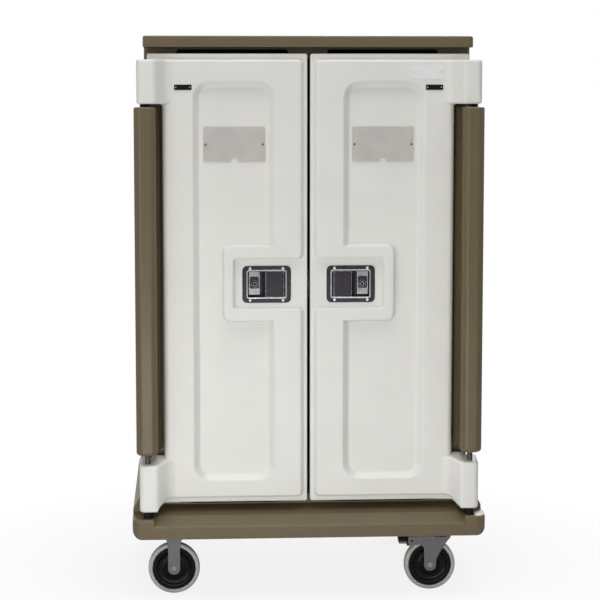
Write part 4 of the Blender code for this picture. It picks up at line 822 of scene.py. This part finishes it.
# Hinge rods and washers. A steel rod, coloured dark as painted shade under the ears and posts,
# stands in the deck's corner block and runs up through the lower ear and the post into the upper
# ear, which turns on a black nylon thrust washer. A black ring at the rod's foot is painted shade
# under the lower ear.
# Dark colour: painted shade on the hinge rods, and the plain dark finish of the card pockets'
# screws.
dark_steel_and_painted_shade = plain_finish(
    "dark steel and painted rod shade", (66, 62, 58), (76, 72, 68), (80.0, 3.0), ((50.0, 2.0), 0.34, 0.46),
    ((500.0, 2.0), 0.0001, 0.2), metal=0.8,
)
ROD_LOW = 0.2228
ROD_HIGH = 1.5542
ROD_RADIUS = 0.008
ROD_BEVEL = 0.001
WASHER_LOW = 1.4395
WASHER_HIGH = 1.4479
WASHER_RADIUS = 0.015

for side_name, side in SIDES.items():
    centre = (side * HINGE_X, HINGE_Y, 0)
    rod = turned([
        (0, ROD_LOW), (ROD_RADIUS - ROD_BEVEL, ROD_LOW), (ROD_RADIUS, ROD_LOW + ROD_BEVEL),
        (ROD_RADIUS, ROD_HIGH - ROD_BEVEL), (ROD_RADIUS - ROD_BEVEL, ROD_HIGH), (0, ROD_HIGH),
    ], centre, "Z", 32)
    place("hinge_pin_" + side_name, rod, dark_steel_and_painted_shade, "cart", "hinge_rod_" + side_name,
          slot="stainless")
    washer = turned([
        (ROD_BORE, WASHER_LOW), (0.014, WASHER_LOW), (WASHER_RADIUS, 1.4404),
        (WASHER_RADIUS, 1.4426), (0.0138, 1.4434), (0.0138, 1.444), (WASHER_RADIUS, 1.4448),
        (WASHER_RADIUS, 1.447), (0.014, WASHER_HIGH), (ROD_BORE, WASHER_HIGH),
    ], centre, "Z", 48, True)
    place("thrust_washer_" + side_name, washer, black_nylon, "cart",
          "hinge_washer_" + side_name, slot="black_plastic")
    # Painted shade: a black ring under the lower ear, where the ear's shadow falls.
    foot_shade_ring = turned([
        (0.0082, 0.2427), (0.014, 0.2427), (0.014, 0.259), (0.0125, 0.2612), (0.0082, 0.2612),
    ], centre, "Z", 32, True)
    place("painted_foot_shade_" + side_name, foot_shade_ring, black_nylon, "cart", slot="black_plastic")


# Strike, painted gap shade and hold-open magnets. The strike, a bent steel piece between the
# mouths whose fin both bolts catch behind, is coloured dark as painted shade, and a near-black
# strip above and below it is painted shade in the gap between the doors. A magnet block on each
# side of the cabinet holds a door folded back.
# Dark colour painted in: shade on the strike, a dark reflection on the latches' plated steel.
black_chrome = plain_finish(
    "steel darkened for painted reflection and shade", (48, 45, 49), (56, 53, 58), (120.0, 3.0, 0.6),
    ((35.0, 2.0), 0.24, 0.36), ((700.0, 2.0), 0.00008, 0.25), metal=0.9,
)
finish_node("latch_strike", black_chrome)

STRIP_HALF = 0.006
strike_low, strike_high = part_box("latch_strike")
strips = {"upper": (strike_high.z + 0.002, 1.58), "lower": (0.29, strike_low.z - 0.002)}
for level, (low, high) in strips.items():
    strip = slab((-STRIP_HALF, cabinet_low.y - 0.0012, low),
                 (STRIP_HALF, cabinet_low.y - 0.0001, high), "front", 0.002, 3, 0.0004)
    place("gap_shade_strip_" + level, strip, painted_shade_black, "cart", slot="black_plastic")
for side_name, side in SIDES.items():
    low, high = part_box("door_magnet_" + side_name)
    inner, outer = sorted((low.x, high.x), key=abs)
    magnet = slab((inner, low.y, low.z), (outer, high.y, high.z), "side", 0.003, 4,
                  0.001 if side < 0 else 0, 0.001 if side > 0 else 0)
    place("hold_open_magnet_" + side_name, magnet, black_nylon, "cart",
          "door_magnet_" + side_name, slot="black_plastic")


# Doors. Each outer moulding, in off-white polyethylene, is hollow and foamed. It has a raised
# panel with a long recess, a ridge round the latch's pad, and two ears that turn on the hinge
# rod. Every depth on a door is measured back from the door's face.
white_polyethylene = moulded_polyethylene(
    "off-white polyethylene", (226, 225, 220), (222, 221, 216), 0.36)

PANEL_DEPTH = 0.015
DOOR_BACK = 0.05
DOOR_LOW = 0.278
DOOR_HIGH = 1.593
DOOR_IN = 0.0045
DOOR_OUT = 0.467
DOOR_ROUND = 0.006
HINGE_SIDE = 0.4245
HINGE_ROUND = 0.016
HINGE_DEPTH = HINGE_Y - DOOR_FACE
UPPER_EAR = (1.4482, 1.5748)
LOWER_EAR = (0.2623, 0.4003)
EAR_FRONT = -0.052
EAR_OUT = 0.497
EAR_STEP = 0.461
EAR_ROUND = 0.0075
PANEL_IN = 0.0135
PANEL_OUT = HINGE_SIDE - 0.0002
PANEL_LOW = 0.29
PANEL_HIGH = 1.578
PANEL_ROUND = 0.017
PANEL_FOOT_ROUND = 0.003
PANEL_CREST_ROUND = 0.0075
PAD = (0.8565, 0.9955)
PAD_OUT = 0.2155
RIDGE_IN = 0.0707
RIDGE_OUT = 0.2565
RIDGE_LOW = 0.8085
RIDGE_HIGH = 1.0435
RECESS_DEPTH = 0.018
BURIED = 0.004
BOLT_SLOT_LOW = (0.0386, 0.9157)
BOLT_SLOT_HIGH = (0.0472, 0.9303)
BELOW_DOOR = 0.24
EAR_CORNER = 0.4455
SWEEP_IN = 0.36
SWEEP_OUT = 0.4445
SWEEP_TOP = 0.3003

lip_top = LOWER_EAR[1] + 0.006
rim = extruded([
    (DOOR_IN, DOOR_LOW, DOOR_ROUND), (DOOR_OUT, DOOR_LOW, DOOR_ROUND), (DOOR_OUT, lip_top, 0),
    (HINGE_SIDE, lip_top, 0.008), (HINGE_SIDE, UPPER_EAR[0], 0.008), (DOOR_OUT, UPPER_EAR[0], 0),
    (DOOR_OUT, DOOR_HIGH, DOOR_ROUND), (DOOR_IN, DOOR_HIGH, DOOR_ROUND),
], "front", PANEL_DEPTH, DOOR_BACK, 8, 0.003)
panel_slope = PANEL_FOOT_ROUND + PANEL_CREST_ROUND
panel = stepped([
    (PANEL_IN, PANEL_LOW, PANEL_ROUND), (PANEL_OUT, PANEL_LOW, PANEL_ROUND),
    (PANEL_OUT, PANEL_HIGH, PANEL_ROUND), (PANEL_IN, PANEL_HIGH, PANEL_ROUND),
    (PANEL_IN, PAD[1], PANEL_ROUND), (PAD_OUT, PAD[1], 0.006), (PAD_OUT, PAD[0], 0.006),
    (PANEL_IN, PAD[0], PANEL_ROUND),
], "front", PANEL_DEPTH + BURIED, PANEL_DEPTH + FLUSH,
    s_profile(panel_slope, PANEL_DEPTH + FLUSH, PANEL_FOOT_ROUND, PANEL_CREST_ROUND))
FREE_SIDE_DRAFT = 0.0045
outlines = [(vert.co.x, vert.co.y) for vert in panel.verts]
for vert in panel.verts:
    rise = min(1.0, (PANEL_DEPTH - vert.co.y) / PANEL_DEPTH)
    if rise > 0 and vert.co.x > 0.39:
        outermost = max(x for x, y in outlines if abs(y - vert.co.y) < 0.00001)
        vert.co.x += PANEL_OUT - HINGE_ROUND * (1 - math.sqrt(1 - rise * rise)) - outermost
    elif rise > 0 and vert.co.x < 0.1:
        vert.co.x += FREE_SIDE_DRAFT * rise

recess = stepped(rounded_box(0.0967, 0.3408, 0.341, 1.517, 0.052), "front", -0.012, -FLUSH,
                 s_profile(0.0247, RECESS_DEPTH + FLUSH, 0.008, 0.01))
ridge = stepped([
    (RIDGE_IN, RIDGE_LOW, 0), (RIDGE_OUT, RIDGE_LOW, 0.03), (RIDGE_OUT, RIDGE_HIGH, 0.03),
    (RIDGE_IN, RIDGE_HIGH, 0),
], "front", RECESS_DEPTH + BURIED, RECESS_DEPTH + FLUSH,
    s_profile(0.012, RECESS_DEPTH + 2 * FLUSH, 0.005, 0.005) + [(0.0, 0.02)])
recess = cut(recess, ridge)


def ear(low, high):
    """Knuckle of a door, with a slanted flank that runs out into the panel's face."""
    root = HINGE_X - 0.092
    return extruded([
        (root, 0.0002, 0), (0.409, 0.0002, 0.034), (EAR_CORNER, EAR_FRONT, 0.015),
        (EAR_OUT, EAR_FRONT, 0.016), (EAR_OUT, PANEL_DEPTH, 0.01), (EAR_STEP, PANEL_DEPTH, 0),
        (EAR_STEP, 0.032, 0), (root, 0.032, 0),
    ], "plan", low, high, 8, EAR_ROUND, EAR_ROUND)


def bore(low, high):
    """Cutter for the hinge rod's hole through an ear."""
    return drill((HINGE_X, HINGE_DEPTH, 0), "Z", ROD_BORE, low, high)


lower_ear = ear(*LOWER_EAR)
for vert in lower_ear.verts:
    if vert.co.z > 0.35:
        vert.co.z += max(0.0, vert.co.y + 0.048) * 0.227
under_ear = extruded([
    (0.37, BELOW_DOOR, 0), (EAR_CORNER, BELOW_DOOR, 0), (EAR_CORNER, 0.2782, 0.028),
    (0.37, 0.2782, 0),
], "front", -0.06, DOOR_BACK + OVERLAP)
sweep = stepped([
    (SWEEP_IN, BELOW_DOOR, 0), (SWEEP_OUT, BELOW_DOOR, 0), (SWEEP_OUT, 0.27, 0.012),
    (0.418, SWEEP_TOP, 0.034), (SWEEP_IN, SWEEP_TOP, 0),
], "front", -0.07, -FLUSH,
    s_profile(panel_slope, PANEL_DEPTH, PANEL_CREST_ROUND, PANEL_FOOT_ROUND))


def bolt_slot(start, end):
    """Cutter for the slot that the latch's bolt slides through."""
    return slab((start, *BOLT_SLOT_LOW), (end, *BOLT_SLOT_HIGH), "front")


door = cut(join(rim, panel), recess)
door = join(door, ear(*UPPER_EAR), lower_ear)
door = cut(
    door, under_ear, sweep,
    bore(UPPER_EAR[0] - CUTTER_REACH, UPPER_EAR[0] + 0.1063),
    bore(LOWER_EAR[0] - CUTTER_REACH, LOWER_EAR[1] + 0.03),
    slab((0.0105, 0.024, 0.284), (0.4185, DOOR_BACK + OVERLAP, 1.587), "front", 0.008, 4),
    slab((0.0645, 0.013, 0.8809), (0.1822, 0.028, 0.9651), "front", 0.004, 3),
    bolt_slot(-0.002, 0.0125),
)


def hang_pair(name, shape, *rest, **finish):
    """Place a shape of the right door on both doors, moved back to where their faces hang."""
    bmesh.ops.translate(shape, vec=(0, DOOR_FACE, 0), verts=shape.verts)
    place_pair(name, shape, *rest, **finish)


hang_pair("door_moulding_", door, white_polyethylene, "door_", "door_shell_", slot="white_shell")


# Inner panels and seals. A smooth grey sheet closes the back of each door, drawn out into a plug
# that enters the mouth. Round the plug runs an extruded seal that closes on the cabinet's face.
seal_rubber = plain_finish(
    "extruded seal", (44, 44, 45), (54, 54, 54), (40.0, 3.0), 0.75, ((600.0, 2.0), 0.0002, 0.4),
)
SHEET_BACK = 0.0533

sheet = slab((0.006, 0.0503, 0.2795), (0.423, SHEET_BACK, 1.5915), "front", 0.01, 6, 0, 0.001)
plug = stepped(rounded_box(0.0255, 0.4025, 0.3045, 1.5665, 0.022), "front",
               0.052, SHEET_BACK - FLUSH, s_profile(0.0075, 0.0165 + FLUSH, 0.002, 0.0055))
inner = cut(join(sheet, plug),
            slab((0.036, 0.049, 0.315), (0.392, 0.0668, 1.556), "front", 0.01, 6))
ring = cut(
    slab((0.0065, 0.0536, 0.2855), (0.4215, 0.062, 1.5855), "front", 0.012, 6, 0.0015, 0.003),
    slab((0.0155, 0.048, 0.2945), (0.4125, 0.068, 1.5765), "front", 0.004, 6),
)
hang_pair("door_lining_", inner, liner_grey, "door_", "door_inner_panel_", slot="liner")
hang_pair("door_seal_", ring, seal_rubber, "door_", "door_gasket_", slot="seal", edge=0.0014)


# Paddle latches. A plated steel dish, coloured dark as a painted reflection, is riveted to the
# pad, with a rolled lip round its mouth that is a separate bright piece, a painted highlight. In
# its outer part a bright platform frames the lock's seat.
bright_steel, tree, shader, vector = new_material("bright plated steel")
swirl = spread(tree, noise(tree, vector, 210.0, 2.0), 0.0, 1.0)
tree.links.new(tint(tree, swirl, srgb(146, 147, 151), srgb(160, 161, 165)),
               shader.inputs["Base Color"])
shader.inputs["Metallic"].default_value = 1.0
tree.links.new(spread(tree, noise(tree, vector, 60.0, 2.0), 0.18, 0.28), shader.inputs["Roughness"])
bump(tree, shader, (swirl, 0.00005, 0.2))

# Polished steel; on the latch lips and the paddles' edge frames it is a painted highlight.
polished_steel = plain_finish(
    "polished steel", (214, 214, 217), (228, 228, 230), (150.0, 2.0), 0.14,
    ((300.0, 1.0), 0.00003, 0.15), metal=1.0,
)

FLANGE_FRONT = 0.013
LATCH_Z = 0.923
LOCK_X = 0.1574
LOCK_CENTRE = (LOCK_X, 0, LATCH_Z)

dish = join(
    slab((0.0523, FLANGE_FRONT, 0.8687), (0.1944, 0.0149, 0.9773), "front", 0.014, 8, 0.0007),
    slab((0.0648, 0.014, 0.8812), (0.1819, 0.0369, 0.9648), "front", 0.0075, 6, 0, 0.004),
)
dish = cut(dish, slab((0.0663, 0.006, 0.8827), (0.1804, 0.0354, 0.9633), "front", 0.006, 6,
                      0, 0.003))
dish = join(
    dish,
    slab((0.055, 0.0362, 0.914), (0.1098, 0.0489, 0.932), "front", 0.001, 2),
    slab((0.1445, 0.0262, 0.909), (0.173, 0.036, 0.9465), "front", 0.002, 2),
)
dish = cut(dish, bolt_slot(0.05, 0.1078), drill(LOCK_CENTRE, "Y", 0.0103, 0.017, 0.043, 32))
lip = cut(
    slab((0.0642, 0.0112, 0.881), (0.182, 0.0134, 0.9655), "front", 0.007, 8, 0.001),
    slab((0.0678, 0.008, 0.8846), (0.1784, 0.018, 0.9619), "front", 0.004, 8),
)
rivets = together(*[
    turned([(0, -0.001), (0.0014, -0.001), (0.002, -0.002), (0.003, -0.0026),
            (0.0038, -0.0021), (0.0042, -0.0008), (0.0042, 0.001), (0, 0.001)],
           (x, FLANGE_FRONT, z), "Y", 24)
    for x in (0.0755, 0.1718) for z in (0.8766, 0.9699)
])
platform = cut(
    slab((0.142, 0.0205, 0.8912), (0.1762, 0.0356, 0.9614), "front", 0.003, 5, 0.002),
    slab((0.1455, 0.018, 0.91), (0.1722, 0.04, 0.9455), "front", 0.0045, 5),
)
bezel = turned([
    (0.0102, 0.0264), (0.0102, 0.0196), (0.0106, 0.0192), (0.011, 0.0192), (0.0114, 0.0196),
    (0.0114, 0.0264),
], LOCK_CENTRE, "Y", 48, True)
bezel_set = together(platform, bezel)

# The pan is coloured dark as a painted reflection; its lip is a painted highlight.
hang_pair("latch_pan_", dish, black_chrome, "door_", "latch_dish_", slot="black_chrome",
          edge=0.0003)
hang_pair("latch_lip_highlight_", lip, polished_steel, "door_", slot="stainless", edge=0.0005)
hang_pair("latch_rivets_", rivets, polished_steel, "door_", slot="stainless")
hang_pair("lock_platform_", bezel_set, bright_steel, "door_", slot="stainless", edge=0.0004)


# Paddles, pins and bolts. The paddle, coloured dark as a painted reflection, has its flat face
# framed by a bevel whose bright edge is a separate polished frame, a painted highlight; its free
# edge is bent inwards for the fingers, and a barrel along the other turns on a steel pin.
PADDLE_X = 0.0716
PADDLE_DEPTH = 0.019
paddle = stepped(rounded_box(0.0736, 0.1262, 0.885, 0.9605, 0.004), "front", 0.0176, 0.0157,
                 [(0.0004, 0.0003), (0.0028, 0.0009), (0.0006, 0.0002)], 4)
bend = extruded([
    (0.124, 0.0157, 0), (0.1262, 0.0157, 0.001), (0.1358, 0.0235, 0.0008),
    (0.1345, 0.0248, 0.0008), (0.1252, 0.0176, 0.001), (0.124, 0.0176, 0),
], "plan", 0.8862, 0.9594, 3)
barrel = turned([(0, 0.8872), (0.0035, 0.8872), (0.0039, 0.8877), (0.0039, 0.9583),
                 (0.0035, 0.9588), (0, 0.9588)], (PADDLE_X, PADDLE_DEPTH, 0), "Z", 24)
paddle = cut(join(paddle, bend, barrel),
             drill((PADDLE_X, PADDLE_DEPTH, 0), "Z", 0.0028, 0.87, 0.98, 16))
paddle_highlight_frame = cut(
    slab((0.0738, 0.0152, 0.8852), (0.126, 0.016, 0.9603), "front", 0.004, 5, 0.0003),
    slab((0.0754, 0.012, 0.8868), (0.1243, 0.018, 0.9587), "front", 0.0026, 5),
)
hang_pair("painted_paddle_highlight_", paddle_highlight_frame, polished_steel, "paddle_", slot="stainless")
hang_pair("paddle_", paddle, black_chrome, "paddle_", "latch_paddle_", slot="black_chrome",
          edge=0.0003)
for side_name in SIDES:
    for inside in ("paddle_pin_", "latch_bolt_"):
        finish_node(inside + side_name, stainless)


# Locks. A key cylinder, coloured dark as a painted reflection, sits in the platform's ring, its
# keyway upright when unlocked, with a polished collar round the keyway.
lock = turned([
    (0, 0.019), (0.0062, 0.019), (0.0066, 0.0194), (0.0066, 0.0202), (0.0084, 0.0202),
    (0.0092, 0.0194), (0.0098, 0.02), (0.01, 0.047), (0, 0.047),
], LOCK_CENTRE, "Y", 40)
lock = cut(lock, slab((LOCK_X - 0.0008, 0.008, LATCH_Z - 0.0042),
                      (LOCK_X + 0.0008, 0.022, LATCH_Z + 0.0042), "front", 0.0004, 2))
collar = turned([(0.0048, 0.0186), (0.0061, 0.0186), (0.0063, 0.0189), (0.0063, 0.0195),
                 (0.0048, 0.0195)], LOCK_CENTRE, "Y", 40, True)
hang_pair("key_cylinder_", lock, black_chrome, "lock_", "lock_cylinder_", slot="stainless")
hang_pair("key_collar_", collar, polished_steel, "lock_", slot="stainless")


# Hold-open plates. A small dark plate, riveted high on each door, meets the magnet on the
# cabinet's side when the door is folded back.
for side_name in SIDES:
    low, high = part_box("hold_plate_" + side_name)
    plate = slab(low, high, "front", 0.002, 4, 0.0004)
    place("hold_open_plate_" + side_name, plate, black_nylon, "door_" + side_name,
          "hold_plate_" + side_name, slot="black_plastic")
    studs = together(*[
        turned([(0, -0.0004), (0.0012, -0.0004), (0.0018, -0.0001), (0.0018, 0.0004), (0, 0.0004)],
               (x, low.y, (low.z + high.z) / 2), "Y", 16)
        for x in (low.x + 0.005, high.x - 0.005)
    ])
    place("hold_open_rivets_" + side_name, studs, stainless, "door_" + side_name,
          slot="stainless")


# Card holders. A clear pocket, open at the top and with a thumb notch below, is screwed to the
# floor of each recess by two small dark screws.
RIPPLE = (26.0, 1.0, 0.5, (1.0, 1.0, -0.8))
clear_plastic = plain_finish(
    "clear pocket plastic", (221, 218, 213), (230, 227, 221), RIPPLE, 0.08, (RIPPLE, 0.0003, 0.1),
)
clear_plastic.node_tree.nodes["Principled BSDF"].inputs["Alpha"].default_value = 0.36
POCKET_WALL = 0.003
POCKET_BACK = 0.001
SCREW_LEVEL = 1.331

for side_name in SIDES:
    low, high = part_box("card_holder_" + side_name)
    middle = (low.x + high.x) / 2
    pocket = cut(
        slab(low, high, "front", 0.004, 4),
        slab((low.x + POCKET_WALL, low.y + POCKET_BACK, low.z + POCKET_WALL),
             (high.x - POCKET_WALL, high.y - POCKET_BACK, high.z + 0.002), "front"),
        drill((middle, low.y, low.z), "Y", 0.0105, -0.02, 0.02, 32),
    )
    place("card_pocket_" + side_name, pocket, clear_plastic, "door_" + side_name,
          "card_holder_" + side_name, slot="clear", edge=0.0003)
    screws = together(*[
        turned([(0, -0.0008), (0.0014, -0.0008), (0.0032, -0.0003), (0.0034, 0.0004), (0, 0.0004)],
               (x, low.y, SCREW_LEVEL), "Y", 16)
        for x in (low.x + 0.0075, high.x - 0.0075)
    ])
    place("card_pocket_screws_" + side_name, screws, dark_steel_and_painted_shade, "door_" + side_name, slot="zinc")


# Name plate. A blank plate in a satin finish, with rounded corners and a rivet at each end,
# high on the right door.
plate_white = plain_finish(
    "satin plate", (226, 226, 226), (232, 232, 231), (40.0, 2.0), 0.3,
    ((500.0, 2.0, 0.5, (0.05, 1.0, 1.0)), 0.0001, 0.3),
)
PLATE_FRONT = DOOR_FACE - 0.0012
blank = slab((0.2977, PLATE_FRONT, 1.52), (0.3884, DOOR_FACE + 0.0001, 1.559),
             "front", 0.003, 4, 0.0004)
place("name_plate_blank", blank, plate_white, "door_right", slot="stainless")
studs = together(*[
    turned([(0, -0.0007), (0.001, -0.0006), (0.0018, -0.0002), (0.0018, 0.0006), (0, 0.0006)],
           (x, PLATE_FRONT, 1.5395), "Y", 16)
    for x in (0.3025, 0.3836)
])
place("name_plate_rivets", studs, stainless, "door_right", slot="stainless")


# Studio. A wide pale floor that keeps the cart's shadow, a white surround, soft lamps above and
# beside the camera, and the camera at the height and distance of the photograph's.
floor_white, tree, shader, vector = new_material("studio floor")
tree.links.new(tint(tree, noise(tree, vector, 2.0, 2.0), srgb(232, 232, 232), srgb(238, 238, 238)),
               shader.inputs["Base Color"])
shader.inputs["Roughness"].default_value = 0.9
shader.inputs["Specular IOR Level"].default_value = 0.0
light_path = new_node(tree, "LightPath")
distance = new_node(tree, "VectorMath", operation="LENGTH")
tree.links.new(vector, distance.inputs[0])
share = new_node(tree, "Math", operation="MULTIPLY")
tree.links.new(spread(tree, distance.outputs["Value"], 0.86, 1.0, 0.5, 1.3), share.inputs[0])
tree.links.new(light_path.outputs["Is Camera Ray"], share.inputs[1])
glow = new_node(tree, "Emission")
both = new_node(tree, "MixShader")
tree.links.new(share.outputs["Value"], both.inputs["Fac"])
tree.links.new(shader.outputs["BSDF"], both.inputs[1])
tree.links.new(glow.outputs["Emission"], both.inputs[2])
tree.links.new(both.outputs["Shader"], tree.nodes["Material Output"].inputs["Surface"])

floor_shape = bmesh.new()
bmesh.ops.create_grid(floor_shape, x_segments=1, y_segments=1, size=30.0)
floor_mesh = bpy.data.meshes.new("studio_floor")
floor_shape.to_mesh(floor_mesh)
floor_shape.free()
floor_mesh.materials.append(floor_white)
new_object("studio_floor", floor_mesh)

world = bpy.data.worlds.new("white studio")
world.use_nodes = True
bpy.context.scene.world = world
tree = world.node_tree
background = tree.nodes["Background"]
light_path = new_node(tree, "LightPath")
seen = light_path.outputs["Is Camera Ray"]
for kind in ("Is Glossy Ray", "Is Transmission Ray"):
    either = new_node(tree, "Math", operation="MAXIMUM")
    tree.links.new(seen, either.inputs[0])
    tree.links.new(light_path.outputs[kind], either.inputs[1])
    seen = either.outputs["Value"]
tree.links.new(spread(tree, seen, 0.20, 1.0, 0.0, 1.0), background.inputs["Strength"])
background.inputs["Color"].default_value = (1.0, 1.0, 1.0, 1.0)


def soft_lamp(name, place_at, target, size, power):
    """Rectangular lamp that looks from its place at a target."""
    lamp = bpy.data.lights.new(name, "AREA")
    lamp.shape = "RECTANGLE"
    lamp.size, lamp.size_y = size
    lamp.energy = power
    thing = new_object(name, lamp)
    thing.location = place_at
    thing.rotation_euler = (Vector(target) - Vector(place_at)).to_track_quat("-Z", "Y").to_euler()


soft_lamp("overhead", (0.0, -1.3, 4.6), (0.0, -0.2, 0.0), (3.0, 2.0), 87.0)
soft_lamp("key", (-1.6, -5.6, 5.0), (0.0, -0.3, 0.8), (2.4, 1.8), 19.0)
soft_lamp("low_front", (-0.5, -2.6, 0.28), (0.0, -0.35, 0.50), (2.2, 0.36), 13.5)
soft_lamp("floor_bounce", (-0.2, -1.7, 0.04), (0.0, -0.5, 0.45), (2.0, 0.6), 3.8)
soft_lamp("left_bank", (-3.2, -3.2, 1.0), (0.0, -0.3, 0.8), (1.6, 1.8), 25.0)
soft_lamp("right_bank", (3.2, -3.4, 1.2), (0.0, -0.3, 0.7), (1.6, 2.4), 4.0)
soft_lamp("rear_fill", (1.2, 5.0, 3.0), (0.0, 0.3, 0.8), (2.4, 2.0), 110.0)

camera_data = bpy.data.cameras.new("camera")
camera_data.sensor_width = 36.0
camera_data.lens = 108.0
camera_data.shift_x = 0.0206
camera_data.shift_y = -0.0392
camera = new_object("camera", camera_data)
camera.location = (-0.3623, -5.5716, 1.4763)
camera.rotation_euler = [math.radians(angle) for angle in (84.214, 0.031, -3.293)]
bpy.context.scene.camera = camera
bpy.context.scene.view_settings.view_transform = "Standard"
